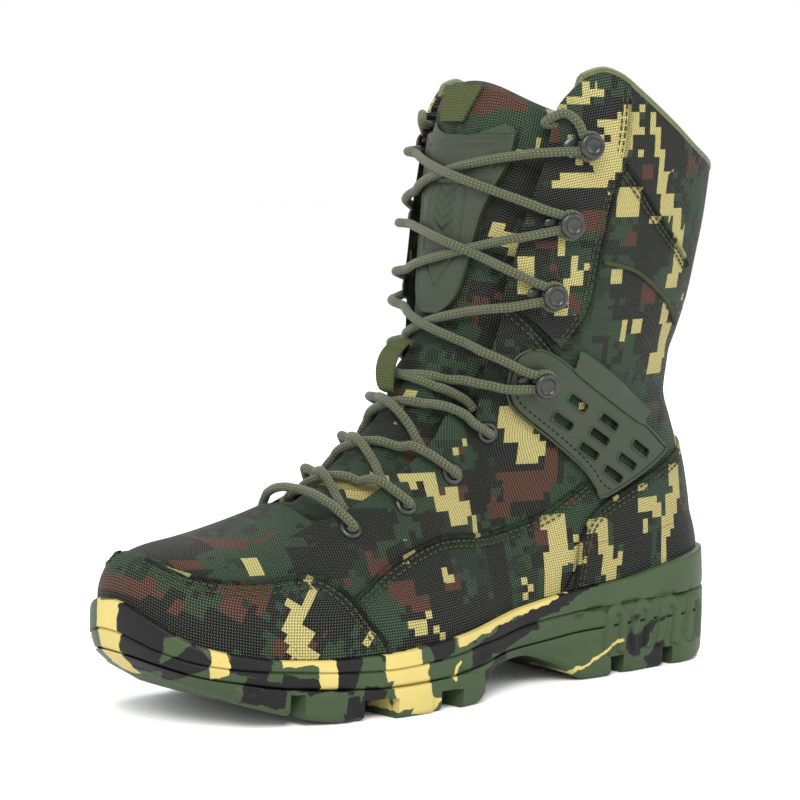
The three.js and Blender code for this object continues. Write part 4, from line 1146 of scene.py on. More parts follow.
def form_patch(outline, distance, side=0):
    """The part of the upper's grid that an outline covers, moved outwards by a distance."""
    low_x = min(a for a, _ in outline) - PATCH_SPARE
    high_x = max(a for a, _ in outline) + PATCH_SPARE
    low_z = min(b for _, b in outline) - PATCH_SPARE
    high_z = max(b for _, b in outline) + PATCH_SPARE
    count = 2 * HALF_LOOP
    columns = range(-HALF_LOOP, HALF_LOOP + 1) if low_x < 5 else range(0, count + 1)
    if side:
        columns = range(0, HALF_LOOP + 1) if side > 0 else range(HALF_LOOP, count + 1)

    def inside(point):
        return low_x <= point.x <= high_x and low_z <= point.z <= high_z

    rows = [i for i in range(1, len(upper_rows)) if any(inside(upper_rows[i][k % count]) for k in columns)]
    rows = range(max(1, rows[0] - 1), min(len(upper_rows), rows[-1] + 2))
    columns = [k for k in columns if any(inside(upper_rows[i][k % count]) for i in rows)]
    columns = range(columns[0] - (not side), columns[-1] + 1 + (not side))
    return [
        [upper_rows[i][k % count] + upper_normals[i][k % count] * distance for k in columns] for i in rows
    ]


def make_sheet(outline, top, thick, side=0):
    """Sheet with its outer face at a height over the upper, trimmed to an outline in side view."""
    piece = lay_grid(form_patch(outline, top, side))
    apply_modifier(piece, "SOLIDIFY", thickness=thick * MM, offset=-1)
    cut(piece, through_side(outline, side), "INTERSECT")
    return piece


def make_panel(name, outline, thick, material, replaces, side=0):
    piece = make_sheet(outline, GAP + thick, thick, side)
    if side:
        cut(piece, throat_cutter())
    smooth_by_angle(piece, 35)
    return finish_piece(piece, name, material, replaces)


LINE_STEP = 0.4  # spacing of the points of a line over the upper
EDGE_OF_FORM = 0.4  # half width of the upper under which a line over it stops
BREAK = 6.0  # a longer step than this is a gap in a line


def surface_line(line, side, lift):
    """Points over the upper along a line of (x, z), evenly close together."""
    points = []
    for (x0, z0), (x1, z1) in zip(line, line[1:]):
        steps = max(2, int(math.hypot(x1 - x0, z1 - z0) / LINE_STEP))
        for s in range(steps):
            x, z = mix(x0, x1, s / steps), mix(z0, z1, s / steps)
            if upper_half(x, z) > EDGE_OF_FORM:
                place, out = on_side(x, z, side)
                points.append((place + out * (lift - crease_depth(x, z)), out))
    return points


def spaced(points, pitch):
    """Places and directions along a dense line, a pitch apart."""
    chosen = []
    run = 0.0
    goal = 0.0
    for (a, out), (b, _) in zip(points, points[1:]):
        length = (b - a).length
        if length > BREAK:
            goal = run + pitch
            continue
        run += length
        if run >= goal and length > 0:
            chosen.append((a, (b - a).normalized(), out))
            goal += pitch
    return chosen


def make_stitches(name, runs, material, long=2.7, wide=1.0, pitch=3.1):
    """Rows of small stitches, one rounded bar modelled once and copied into one mesh."""
    bpy.ops.object.select_all(action="DESELECT")
    bpy.ops.mesh.primitive_ico_sphere_add(subdivisions=1, radius=0.5)
    bar = bpy.context.object
    shape = [v.co.copy() for v in bar.data.vertices]
    faces = [tuple(p.vertices) for p in bar.data.polygons]
    bpy.data.objects.remove(bar)
    vertices = []
    polygons = []
    for points in runs:
        for place, along, out in spaced(points, pitch):
            across = out.cross(along).normalized()
            base = len(vertices)
            for v in shape:
                spot = place + along * (v.x * long) + across * (v.y * wide) + out * (v.z * wide)
                vertices.append(put(*spot))
            polygons.extend(tuple(base + i for i in face) for face in faces)
    mesh = bpy.data.meshes.new(name)
    mesh.from_pydata(vertices, [], polygons)
    piece = bpy.data.objects.new(name, mesh)
    bpy.context.collection.objects.link(piece)
    alone(piece)
    bpy.ops.object.shade_smooth()
    return finish_piece(piece, name, material)


def inset_line(line, distance):
    """A line of (x, z) moved to its left by a distance."""
    moved = []
    for i, (x, z) in enumerate(line):
        x0, z0 = line[max(0, i - 1)]
        x1, z1 = line[min(len(line) - 1, i + 1)]
        length = math.hypot(x1 - x0, z1 - z0) or 1.0
        moved.append((x - (z1 - z0) / length * distance, z + (x1 - x0) / length * distance))
    return moved


def ring_round(centre, first, second, radius, sides):
    """Points round a centre, the first of them repeated at the end."""
    turns = [2 * math.pi * k / sides for k in range(sides + 1)]
    return [centre + (first * math.cos(turn) + second * math.sin(turn)) * radius for turn in turns]


def make_tube(name, points, radius, material, sides=12, closed=False):
    """Round cord through points, its UV map in metres along it and turns round it."""
    count = len(points)
    ways = []
    for i in range(count):
        ahead = points[(i + 1) % count] if closed else points[min(i + 1, count - 1)]
        behind = points[i - 1] if closed or i else points[0]
        ways.append((ahead - behind).normalized())
    out = Vector((0.0, 0.0, 1.0)) if abs(ways[0].z) < 0.9 else Vector((1.0, 0.0, 0.0))
    rows = []
    for point, way in zip(points, ways):
        out = (out - way * out.dot(way)).normalized()
        rows.append(ring_round(point, out, way.cross(out), radius, sides))
    piece = lay_grid(rows)
    uv = piece.data.uv_layers[0].data
    for loop in piece.data.loops:
        column = loop.vertex_index % (sides + 1)
        along = uv[loop.index].uv[1]
        uv[loop.index].uv = (along, column / sides)
    merge(piece)
    edit(
        piece,
        (bpy.ops.mesh.select_all, {"action": "DESELECT"}),
        (bpy.ops.mesh.select_non_manifold, {}),
        (bpy.ops.mesh.edge_face_add, {}),
    )
    face_outwards(piece)
    bpy.ops.object.shade_smooth()
    piece.name = name
    piece.data.materials.append(material)
    return piece


def smooth_path(points, spacing=1.0):
    """Dense points along a smooth line through a few."""
    dense = []
    count = len(points)
    for i in range(count - 1):
        a, b, c, d = (points[min(max(i + j - 1, 0), count - 1)] for j in range(4))
        steps = max(2, int((c - b).length / spacing))
        for s in range(steps):
            e, f, g, h = spline_weights(s / steps)
            dense.append((a * e + b * f + c * g + d * h) / 2)
    dense.append(points[-1])
    return dense


def join(name, pieces):
    bpy.ops.object.select_all(action="DESELECT")
    for piece in pieces:
        piece.select_set(True)
    bpy.context.view_layer.objects.active = pieces[0]
    bpy.ops.object.join()
    pieces[0].name = name
    return pieces[0]


ROLL = 1.0
STITCH_ROWS = (2.1, 4.3)


def make_seam(name, line, lift, cloth, stitch_material, rows=STITCH_ROWS):
    """A rolled edge along a line of (x, z), with rows of stitches beside it."""
    line = rounded(line, 3, closed=False)
    rolls = []
    runs = []
    for side in SIDES:
        path = [place for place, _ in surface_line(line, side, lift)][::4]
        stretches = [[path[0]]]
        for a, b in zip(path, path[1:]):
            if (b - a).length > BREAK:
                stretches.append([])
            stretches[-1].append(b)
        for stretch in stretches:
            if len(stretch) > 3:
                rolls.append(make_tube("roll", stretch, ROLL, cloth, sides=10))
        for row in rows:
            runs.append(surface_line(inset_line(line, row), side, lift + 0.2))
    finish_piece(join(f"{name}_roll", rolls), f"{name}_roll", None)
    if runs:
        make_stitches(f"{name}_stitches", runs, stitch_material)


# The tongue and what is on it
TONGUE_LOW = 0.3
TONGUE_SPREAD = 9.0
TONGUE_DROOP = 0.0075
TONGUE_CLEAR = 3.4
TONGUE_CROWN = 2.6
TONGUE_HOLLOW = 1.8
ON_TONGUE = 0.6
WEBBING = 1.5
TONGUE_LONG = 190
TONGUE_WIDE = 70
TONGUE_EDGE = 3.0  # radius of the pad's edge
TONGUE_APART = 0.001  # keeps the pad's two faces from merging at their edge
# Folds across the pad: height and depth
LOW_FOLD = (121, 0.9)
HIGH_FOLD = (144, 0.8)


def front_point(y, z):
    near = shaft_front(z)
    for x, height in front_line:
        if height <= z:
            near = min(x, LENGTH)
    low = (shaft_back(z) + shaft_front(z)) / 2
    high = max(near, shaft_front(z)) + 4
    for _ in range(18):
        x = (low + high) / 2
        if upper_half(x, z) > abs(y):
            low = x
        else:
            high = x
    return Vector((low, upper_centre(low, z) + y, z))


def tongue_sunk(y, z):
    in_opening = ease(throat_half(z) - abs(y), 4, 15) * ease(z / HEIGHT, 0.325, 0.37)
    on_leg = ease(z / HEIGHT, 0.53, 0.64)
    return WALL + TONGUE_CLEAR - mix(TONGUE_CROWN, -TONGUE_HOLLOW, on_leg) * in_opening


def tongue_sheet(rows, columns, spot, depth):
    """Rows of points at a depth under the front of the boot; spot and depth read two shares."""
    flat = [[spot(i / rows, k / columns) for k in range(columns + 1)] for i in range(rows + 1)]
    points = [[front_point(y, z) for y, z in row] for row in flat]
    normals = grid_normals(points, closed=False)
    normals = [[n if n.x > 0 else -n for n in line] for line in normals]
    return [
        [
            points[i][k] - normals[i][k] * (tongue_sunk(*flat[i][k]) + depth(i / rows, k / columns))
            for k in range(columns + 1)
        ]
        for i in range(rows + 1)
    ]


def slab_piece(outer, inner):
    """Closed piece between two sheets that share their outline or nearly."""
    def ring(sheet):
        right = [row[-1] for row in sheet[1:]]
        left = [row[0] for row in sheet[::-1][1:]]
        return sheet[0] + right + sheet[-1][::-1][1:] + left

    return weld(join("slab", [lay_grid(outer), lay_grid(inner), lay_grid([ring(outer), ring(inner)])]))


def edge_round(along, over):
    """1 in the middle of the tongue, falling as a round edge to 0 at its outline."""
    near = min(min(along, 1 - along) * TONGUE_LONG, min(over, 1 - over) * TONGUE_WIDE)
    return math.sqrt(1 - (1 - clamp(near / TONGUE_EDGE)) ** 2)


def make_tongue(material):
    def spot(along, over):
        guess = HEIGHT * mix(TONGUE_LOW, 1, along)
        spread = TONGUE_SPREAD * ease(guess / HEIGHT, 0.25, 0.5)
        half = min(throat_half(guess) + spread, SHAFT_HALF * 0.9)
        y = (2 * over - 1) * half
        return y, mix(HEIGHT * TONGUE_LOW, HEIGHT - TONGUE_DROOP * y * y, along)

    def pad(along, over):
        z = HEIGHT * mix(TONGUE_LOW, 1, along)
        y = (2 * over - 1) * throat_half(z)
        low_fold = LOW_FOLD[1] * bell(z - LOW_FOLD[0] + 0.1 * abs(y), 4)
        return low_fold + HIGH_FOLD[1] * bell(z - HIGH_FOLD[0] - 0.08 * y, 5)

    def face(way, apart=0.0):
        def depth(along, over):
            return TONGUE / 2 * (1 + way * edge_round(along, over)) + pad(along, over) + apart

        return tongue_sheet(64, 36, spot, depth)

    piece = slab_piece(face(-1), face(1, TONGUE_APART))
    alone(piece)
    bpy.ops.object.shade_smooth()
    finish_piece(piece, "tongue_pad", material, ["tongue"])


TONGUE_PLATE = [
    (0.612, 0.06), (0.618, 0.16), (0.635, 0.26), (0.655, 0.31), (0.71, 0.375), (0.775, 0.43),
    (0.815, 0.5), (0.86, 0.59), (0.9, 0.62), (0.918, 0.58), (0.925, 0.5),
]
tongue_plate_half = curve_through(TONGUE_PLATE)
CHEVRONS = 4
CHEVRON_FROM = 196
CHEVRON_PITCH = 5.2
CHEVRON_HALF = 6.5
V_FROM = 172
# Grooved frames on the plate: half width, height of the middle and half height
FRAMES = [(12.5, 203, 14.5), (25, 227, 6)]


def groove(off, flat, end, deep):
    """Depth of a groove at a distance off its middle line."""
    return deep * (1 - ease(off, flat, end))


def plate_relief(y, z, edge):
    """How far the tongue's plate stands out: a rim, chevrons, two frames and a V near its foot."""
    rise = groove(edge, 1.6, 2.4, 0.7)
    if abs(y) < CHEVRON_HALF:
        for row in range(CHEVRONS):
            rise -= groove(abs(z - CHEVRON_FROM - row * CHEVRON_PITCH - abs(y) * 0.75), 0.7, 1.4, 0.8)
    rise -= groove(abs(z - V_FROM - abs(y) * 1.3), 0.6, 1.3, 0.7) * groove(abs(y), 9, 11, 1)
    for half, middle, high in FRAMES:
        rise -= groove(abs(max(abs(y) - half, abs(z - middle) - high)), 0.5, 1.1, 0.6)
    return rise


def make_tongue_plate(material):
    low, high = TONGUE_PLATE[0][0], TONGUE_PLATE[-1][0]
    dip = HEIGHT * 0.017

    def spot(along, over):
        across = 2 * over - 1
        y = across * tongue_plate_half(mix(low, high, along)) * SHAFT_HALF
        z = HEIGHT * mix(low, high, along) - dip * ease(along, 0.8, 1) * (1 - across * across)
        return y, z

    def top(along, over):
        y, z = spot(along, over)
        half = tongue_plate_half(mix(low, high, along)) * SHAFT_HALF
        edge = min(half - abs(y), (high * HEIGHT - dip * 0.9) - z, z - low * HEIGHT)
        corner = 1 - math.sqrt(1 - (1 - clamp(edge / 1.2)) ** 2)
        return -ON_TONGUE - PLATE * (1 - 0.7 * corner) - plate_relief(y, z, edge) * (1 - corner)

    foot = tongue_sheet(100, 64, spot, lambda a, o: -ON_TONGUE)
    piece = slab_piece(tongue_sheet(100, 64, spot, top), foot)
    smooth_by_angle(piece, 50)
    return finish_piece(piece, "tongue_plate_moulding", material, ["tongue_plate"])


def make_webbing(name, node, material, place_at, lift):
    def face(extra):
        return tongue_sheet(24, 14, place_at, lambda a, o: -lift(a) - extra)

    piece = slab_piece(face(WEBBING), face(0.0))
    smooth_by_angle(piece, 50)
    return finish_piece(piece, name, material, [node])


# The lace: rays over the upper's form carry it from one fastener to the next


def form_tree():
    step = 2
    rows = upper_rows[1::step]
    count = 2 * HALF_LOOP
    points = [row[k] for row in rows for k in range(0, count, step)]
    across = count // step
    faces = []
    for i in range(len(rows) - 1):
        low, high = i * across, (i + 1) * across
        for k in range(across):
            after = (k + 1) % across
            faces.append((low + k, low + after, high + after, high + k))
    return BVHTree.FromPolygons([tuple(p) for p in points], faces)


FORM = form_tree()
LACE_REST = LACE / 2 + 0.6  # height of the lace's middle over what it lies on
LACE_OVER = LACE * 0.75  # how much higher it passes over another run
RIM = 1.1
HOOK_NECK = 4.8  # across
HOOK_HEIGHT = 8.4
# The rays' lean under each run of the lace, in radians, and the run's sway
CROSSINGS = [(1.05, 0), (0.93, 0), (0.76, 0), (0.3, 0), (0.2, 0), (0.16, 5), (0.18, 0)]
FASTENERS = [row[:2] for row in EYELETS] + HOOKS
TOP_HOOK = len(FASTENERS) - 1
FAN_DEPTH = 12.0  # how far inside the boot's front the rays start
HOOK_FROM = len(EYELETS)
# Angles round a hook's neck at which the lace leaves it and comes to it, and the steps of its turn
LEAVES = 1.0
COMES = -0.45
TURN_STEP = 0.55
TURN_STEPS = 8
CROSSED_AT = 0.42  # share of the way at which a run passes over the other


def raised(point, way, height):
    place, normal, _, _ = FORM.ray_cast(point + way * 100, -way)
    if normal.dot(way) < 0:
        normal = -normal
    return place + normal * height(place)


def lace_height(place):
    x, y, z = place
    plate_low = TONGUE_PLATE[0][0]
    plated = ease(z / HEIGHT, plate_low - 0.03, plate_low) * (1 - ease(z / HEIGHT, 0.92, 0.95))
    on_tongue = LACE_REST - tongue_sunk(y, z) + plated * (ON_TONGUE + PLATE)
    panelled = ease(z / HEIGHT, 0.5, 0.56) * (GAP + PANEL + 0.7)
    plate_front = LENGTH * max(at for at, _ in ANKLE_PLATE)
    on_plate = ease(plate_front + 9 - x, 0, 6) * (1 - ease(z / HEIGHT, 0.56, 0.58)) * (GAP + PLATE + 0.5)
    over_facing = ease(abs(y) - throat_half(z), -8, -3)
    return mix(on_tongue, LACE_REST + max(panelled, on_plate), over_facing)


def seat_of(number, side):
    at, rise = FASTENERS[number]
    place, out = on_side(at * LENGTH, rise * HEIGHT, side)
    across = Vector((0, 0, 1)).cross(out).normalized()
    return place, out, across, out.cross(across)


def hook_foot(number):
    return (GAP + PLATE if number == HOOK_FROM else GAP + PANEL) + GAP


def beside_hook(number, side, angle, reach=0.0):
    place, out, across, up = seat_of(number, side)
    beside = (HOOK_NECK + LACE) / 2 + 0.3 + reach
    lift = hook_foot(number) + HOOK_HEIGHT / 2
    return (
        place + out * lift + up * (beside * math.sin(angle)) - across * (side * beside * math.cos(angle))
    )


def over_eyelet(number, side):
    place, out, _, _ = seat_of(number, side)
    return [place + out * (GAP + RIM + 1.9), place + out * 0.2, place - out * 5.5]


def over_front(start, end, lean, sway, height, steps=18):
    way = Vector((math.cos(lean), 0, math.sin(lean)))
    points = []
    for i in range(1, steps):
        t = i / steps
        centre = start.lerp(end, t) - way * FAN_DEPTH
        centre.y = 0
        centre.z += math.copysign(1, start.y) * sway * math.sin(math.pi * t)
        angle = mix(math.atan2(start.y, FAN_DEPTH), math.atan2(end.y, FAN_DEPTH), t)
        out = way * math.cos(angle)
        out.y = math.sin(angle)
        points.append(raised(centre, out, lambda p: height(t, p)))
    return points


def lace_run(low, side, over):
    """Points of the lace from one fastener up and across the front to the next."""
    lean, sway = CROSSINGS[low]
    hooked = low >= HOOK_FROM
    if hooked:
        before = []
        start = beside_hook(low, side, LEAVES)
    else:
        leave = (FASTENERS[low][1] + EYELETS[low][2]) * HEIGHT
        start = front_point(side * (throat_half(leave) - LACE / 2 - 1), leave)
        normal = Vector((30, start.y, 15)).normalized()
        before = [start - normal * (WALL + 4.5) + Vector((-1, side * 3.5, -3))]
        start = start - normal * (WALL + 0.6)
    if low + 1 >= HOOK_FROM:
        turn = [COMES - step * TURN_STEP for step in range(TURN_STEPS + 1)] + [LEAVES]
        after = [beside_hook(low + 1, -side, angle) for angle in turn]
    else:
        after = over_eyelet(low + 1, -side)

    def height(t, place):
        crossing = LACE_OVER * bell(t - CROSSED_AT, 0.13) if over else 0.0
        return lace_height(place) + crossing + (GAP + RIM) * ease(t, 0.65, 0.88)

    points = over_front(start, after[0], lean, sway, height)
    return smooth_path(before + [start] + points[0 if hooked else 2:-1] + after)


def make_laces(material):
    for low in range(TOP_HOOK):
        paths = [lace_run(low, 1, low + 1 != HOOK_FROM), lace_run(low, -1, False)]
        if low + 1 == TOP_HOOK:
            paths += [lace_tail(side) for side in SIDES]
        piece = join(f"lace_run_{low + 1}", [make_tube("run", path, LACE / 2, material) for path in paths])
        finish_piece(piece, f"lace_run_{low + 1}", None, [f"lace_crossing_{low + 1}"])
    outer, inner = over_eyelet(0, 1), over_eyelet(0, -1)

    def height(t, _):
        return LACE_REST + (GAP + RIM) * abs(2 * t - 1)

    across = over_front(outer[0], inner[0], CROSSINGS[0][0], 0, height)[1:-1]
    bar = make_tube("lace_run_bar", smooth_path(outer[::-1] + across + inner), LACE / 2, material)
    finish_piece(bar, "lace_run_bar", None, ["lace_bar"])


def lace_tail(side):
    """The lace's end: from above the top hook to just behind the facing's edge."""
    start = beside_hook(TOP_HOOK, side, LEAVES)
    z = start.z + 9
    edge = front_point(side * (throat_half(z) + 1), z)
    behind = front_point(side * (throat_half(z) - 3), z - 3)
    return smooth_path([
        start,
        beside_hook(TOP_HOOK, side, LEAVES, 4) + Vector((1, 0, 3)),
        edge + Vector((4, side * 2.5, 1)),
        behind + Vector((1.5, 0, 0)),
        behind + Vector((-3.5, side * 2, -1)),
    ])


# Fasteners: shapes turned about a seat's outward direction


def lay_turned(profile, seat, sides=32):
    place, out, across, up = seat
    rows = [ring_round(place + out * height, across, up, radius, sides) for radius, height in profile]
    return weld(lay_grid(rows))


EYELET_RING = [
    (2.2, -WALL), (2.2, 0.7), (2.4, 1.15), (3.0, 1.45), (3.9, 1.4), (4.5, 1.05), (4.75, 0.5), (4.75, GAP),
    (3.0, GAP), (2.9, -WALL), (2.2, -WALL),
]


def make_eyelet(number, side, material):
    name = f"{SIDES[side]}_{number + 1}"
    piece = lay_turned(EYELET_RING, seat_of(number, side))
    smooth_by_angle(piece, 50)
    finish_piece(piece, f"eyelet_ring_{name}", material, [f"eyelet_{name}"])


# A hook's foot: share of its outline and height; its neck and cap: radius and height over the foot
HOOK_FOOT = [(0.0, 1.5), (0.45, 1.5), (0.8, 1.4), (0.93, 1.2), (1.0, 0.8), (1.0, 0.05)]
FOOT_ROUND = 5.6
FOOT_POINT = 4.2  # how much further the foot reaches on its inward side
FOOT_WIDE = 6.0
FOOT_TAPER = 0.22
FOOT_SIDES = 40
NECK_LOW = [(4.2, 1.2), (2.9, 2.2), (2.4, 3.4)]
# Radius, and height from the hook's top
CAP = [
    (2.4, -2.6), (3.0, -1.9), (5.0, -2.0), (5.5, -1.6), (5.6, -1.0), (5.4, -0.4), (4.9, 0.0), (4.2, 0.15),
    (3.7, 0.0), (3.4, -0.5), (2.6, -0.9), (1.2, -1.0), (0.0, -1.0),
]


def make_hook(number, side, material):
    """Speed hook: a tapered foot over the facing, a neck and a dished cap."""
    seat = seat_of(number, side)
    place, _, across, up = seat
    foot = hook_foot(number) - GAP
    rows = []
    for share, height in HOOK_FOOT:
        row = []
        for k in range(FOOT_SIDES + 1):
            angle = 2 * math.pi * k / FOOT_SIDES
            inwards = max(0, math.cos(angle))
            a = (FOOT_ROUND * math.cos(angle) + FOOT_POINT * inwards) * share
            b = FOOT_WIDE * math.sin(angle) * (1 - FOOT_TAPER * inwards) * share
            row.append(raised(place - across * (side * a) + up * b, seat[1], lambda _: foot + height))
        rows.append(row)
    base = weld(lay_grid(rows))
    top = foot + GAP + HOOK_HEIGHT
    stem = [(radius, foot + rise) for radius, rise in NECK_LOW]
    stem += [(radius, top + drop) for radius, drop in CAP]
    piece = join("hook", [base, lay_turned(stem, seat)])
    smooth_by_angle(piece, 40)
    name = f"hook_{SIDES[side]}_{number - HOOK_FROM + 1}"
    finish_piece(piece, f"speed_{name}", material, [name])


# The slotted ankle plate
SLOT_LONG = 12.5
SLOT_WIDE = 4.6
SLOT_PITCH_DOWN = 20.3
SLOT_PITCH_ACROSS = 8.3
SLOT_SLOPE = 0.558
FIRST_SLOT = (0.3195 * LENGTH, 0.465 * HEIGHT)
SLOT_CORNER = 1.3
TAB_THICK = 0.8
TAB_PROUD = 0.9  # how far the tab's strip stands over the plate
# Slots: place down the plate and across it, in pitches
SLOTS = [
    (0, 0), (-0.1, 1.25), (1.03, -0.2), (0.97, 0.76), (0.88, 1.75), (2.2, -0.1), (1.98, 0.97), (1.76, 2.0),
]
TAB_STRIP = [(101, 141.2), (97, 143), (57, 118.2), (56.5, 112.5), (61, 110.5), (100, 133.5), (102, 137.5)]


def slot_outline(down, across):
    way = (-math.cos(SLOT_SLOPE), -math.sin(SLOT_SLOPE))
    over = (math.sin(SLOT_SLOPE), -math.cos(SLOT_SLOPE))
    x = FIRST_SLOT[0] + down * SLOT_PITCH_DOWN * way[0] + across * SLOT_PITCH_ACROSS * over[0]
    z = FIRST_SLOT[1] + down * SLOT_PITCH_DOWN * way[1] + across * SLOT_PITCH_ACROSS * over[1]
    outline = []
    for corner, (i, j) in enumerate(((1, 1), (-1, 1), (-1, -1), (1, -1))):
        for step in range(4):
            angle = math.radians(90 * corner + 30 * step)
            a = i * (SLOT_LONG / 2 - SLOT_CORNER) + SLOT_CORNER * math.cos(angle)
            b = j * (SLOT_WIDE / 2 - SLOT_CORNER) + SLOT_CORNER * math.sin(angle)
            outline.append((x + a * way[0] + b * over[0], z + a * way[1] + b * over[1]))
    return outline


def make_ankle_plate(side, material):
    outline = rounded(in_mm(ANKLE_PLATE), 3)
    top = GAP + PLATE
    piece = make_sheet(outline, top, PLATE, side)
    for slot in SLOTS:
        cut(piece, through_side(slot_outline(*slot), side))
    bevel(piece, 0.45, 50)
    tab = make_sheet(rounded(TAB_STRIP, 3), top + TAB_PROUD, TAB_THICK, side)
    bevel(tab, 0.3, 50)
    rims = []
    for slot in SLOTS:
        path = [place for place, _ in surface_line(slot_outline(*slot), side, top)][::2]
        rims.append(make_tube("rim", path, 0.5, material, sides=8, closed=True))
    edge = surface_line(inset_line(outline[::-1], 0.7) + [outline[-1]], side, top)
    rims.append(make_tube("rim", [place for place, _ in edge][::3], 0.6, material, sides=8))
    piece = join("plate", [piece, tab] + rims)
    smooth_by_angle(piece, 35)
    name = SIDES[side]
    finish_piece(piece, f"ankle_moulding_{name}", material, [f"ankle_plate_{name}"])


# Sole
SOLE_LOOP = 260
HEEL_END = 104
LEDGE = 33  # height at the back of the groove along the heel
LEDGE_PITCH = 22
LEDGE_STEP = 2.2
ARCH_MIDDLE = 130
BED_EDGE = SEATED + WALL + 0.8  # inset of the footbed inside the upper's wall
INSOLE = 4.0


def inner_ring(share, height):
    ring = []
    for along, side in around(SOLE_LOOP):
        edge = mix(0, LENGTH, along)
        spine = clamp(edge, HEEL_ROUND, LENGTH - TOE_ROUND)
        x = mix(spine, edge, share)
        y = mix(centre_line(spine), centre_line(edge) + side * plan_half(edge, 0), share)
        ring.append(Vector((x, y, height(x))))
    return ring


def heel_relief(x, z):
    """A stepped groove along the heel, falling to the front."""
    if x > HEEL_END:
        return 0.0
    stepped = LEDGE_STEP * ease(abs(x % LEDGE_PITCH - LEDGE_PITCH / 2), 4.5, 6.5)
    return -groove(abs(z - LEDGE + 0.05 * x - stepped), 0.5, 1.3, 1.3) * ease(HEEL_END - x, 0, 8)


def side_relief(x, z):
    """The heel's groove, and a hollow and a ridge that cross along the arch."""
    past = x - ARCH_MIDDLE
    arch = ease(x, 96, 112) * (1 - ease(x, 158, 172))
    hollow = 1.8 * bell(z - 0.2 * past - 16, 4.5)
    ridge = 1.2 * bell(z + 0.25 * past - 24, 3.0)
    return heel_relief(x, z) + arch * (ridge - hollow)


RIBS = (25, 42, 59, 76)
RIB = 2.9  # radius
RIB_SUNK = 1.5


def rib_line(x):
    """Places of an upright looped rib in side view."""
    front = [(x + 5.8, 10), (x + 4.6, 19), (x + 3.4, 26), (x, 29.5)]
    return front + [(x - 4.2, 26.5), (x - 4.2, 19), (x - 3.2, 10)]


def make_ribs(material):
    pieces = []
    for side in SIDES:
        for x in RIBS:
            line = rounded(rib_line(x), 4, closed=False)
            path = [Vector((a, centre_line(a) + side * (plan_half(a, 0) - RIB_SUNK), b)) for a, b in line]
            pieces.append(make_tube("rib", smooth_path(path), RIB, material))
    finish_piece(join("heel_ribs", pieces), "heel_ribs", None)


# Lugs along the side: x from and to at the tread, top height and lean, how far they stand out
LUGS = [
    (253.5, 278, 17, 3, 1.6), (227, 251, 16, 3, 1.8), (188, 211, 17.5, 4, 2.0), (157, 177, 15, 5, 1.8),
    (77, 110, 12.5, 6, 1.4), (45, 68, 10.5, 4, 1.2), (20, 37, 11.5, 3, 1.0),
]


def lug_relief(x, z):
    rise = 0.0
    for start, stop, top, lean, proud in LUGS:
        shift = lean * z / top
        inside = min(x - start - shift * 0.6, stop + shift * 0.3 - x, top - z + 1.5 * math.sin(x * 0.6))
        if inside > 0:
            rise = max(rise, proud * ease(inside, 0, 1.6))
    return rise


def side_rings(levels, tuck=0, relief=lambda x, z: 0):
    """Rings up the side: each level gives its height along x and how far it is drawn in."""
    rings = []
    for height, inset, tucked in levels:
        ring = []
        for along, side in around(SOLE_LOOP):
            x = mix(0, LENGTH, along)
            drawn = inset + tuck * tucked * ease(x, LENGTH - TOE_ROUND * TUCK_REACH, LENGTH)
            z = height(x)
            drawn -= relief(x, z)
            x = mix(drawn, LENGTH - drawn, along)
            ring.append(Vector((x, centre_line(x) + side * plan_half(x, drawn), z)))
        rings.append(ring)
    return rings


def between(low, high, share):
    return lambda x: mix(low(x), high(x), share)


def raised_by(line, rise):
    return lambda x: line(x) + rise


def floor_rings(line, shares):
    return [inner_ring(share, line) for share in shares]


# The sole's levels, from the bottom up: height along x, inset and share of the toe's tuck
FLANK_STEPS = 14
WALL_STEPS = 8
RIM_STEPS = 6
# Cuts through the tread: place as a share of LENGTH, width and slant
CHANNELS = [(0.131, 6, 4), (0.237, 9, 4), (0.596, 11, -5), (0.713, 14, -5), (0.825, 5, -4)]


def make_outsole(material):
    edge = [(0.0, 3.0), (0.5, 2.2), (1.4, 1.0)]
    levels = [(raised_by(floor_line, rise), inset, 1.0) for rise, inset in edge]
    start = raised_by(floor_line, 2.2)
    for k in range(FLANK_STEPS + 1):
        t = k / FLANK_STEPS
        levels.append((between(start, split_line, t), 0.7 * (1 - t) ** 2, mix(1, 0.4, t)))
    levels.append((split_line, GROOVE, 0.4))
    rings = floor_rings(floor_line, (0, 0.3, 0.6))
    rings += side_rings(levels, TOE_TUCK, lambda x, z: side_relief(x, z) * 0.8 + lug_relief(x, z))
    piece = weld(lay_grid(rings + floor_rings(split_line, (0.5, 0))))
    for at, wide, slant in CHANNELS:
        for side in SIDES:
            cut(piece, channel_cutter(at * LENGTH, wide, slant, side))
    bevel(piece, 0.5, 55)
    smooth_by_angle(piece, 38)
    finish_piece(piece, "outsole_rubber", material, ["outsole"])


def channel_cutter(x, wide, slant, side):
    middle = centre_line(x)
    y = middle + side * BALL_HALF * 1.2
    low, high = x - wide / 2, x + wide / 2
    outline = [(low, middle), (high, middle), (high + slant, y), (low + slant, y)]
    return prism(outline, "Z", -SOLE_HEIGHT, max(floor_line(low), floor_line(high)) + TREAD_DEPTH)


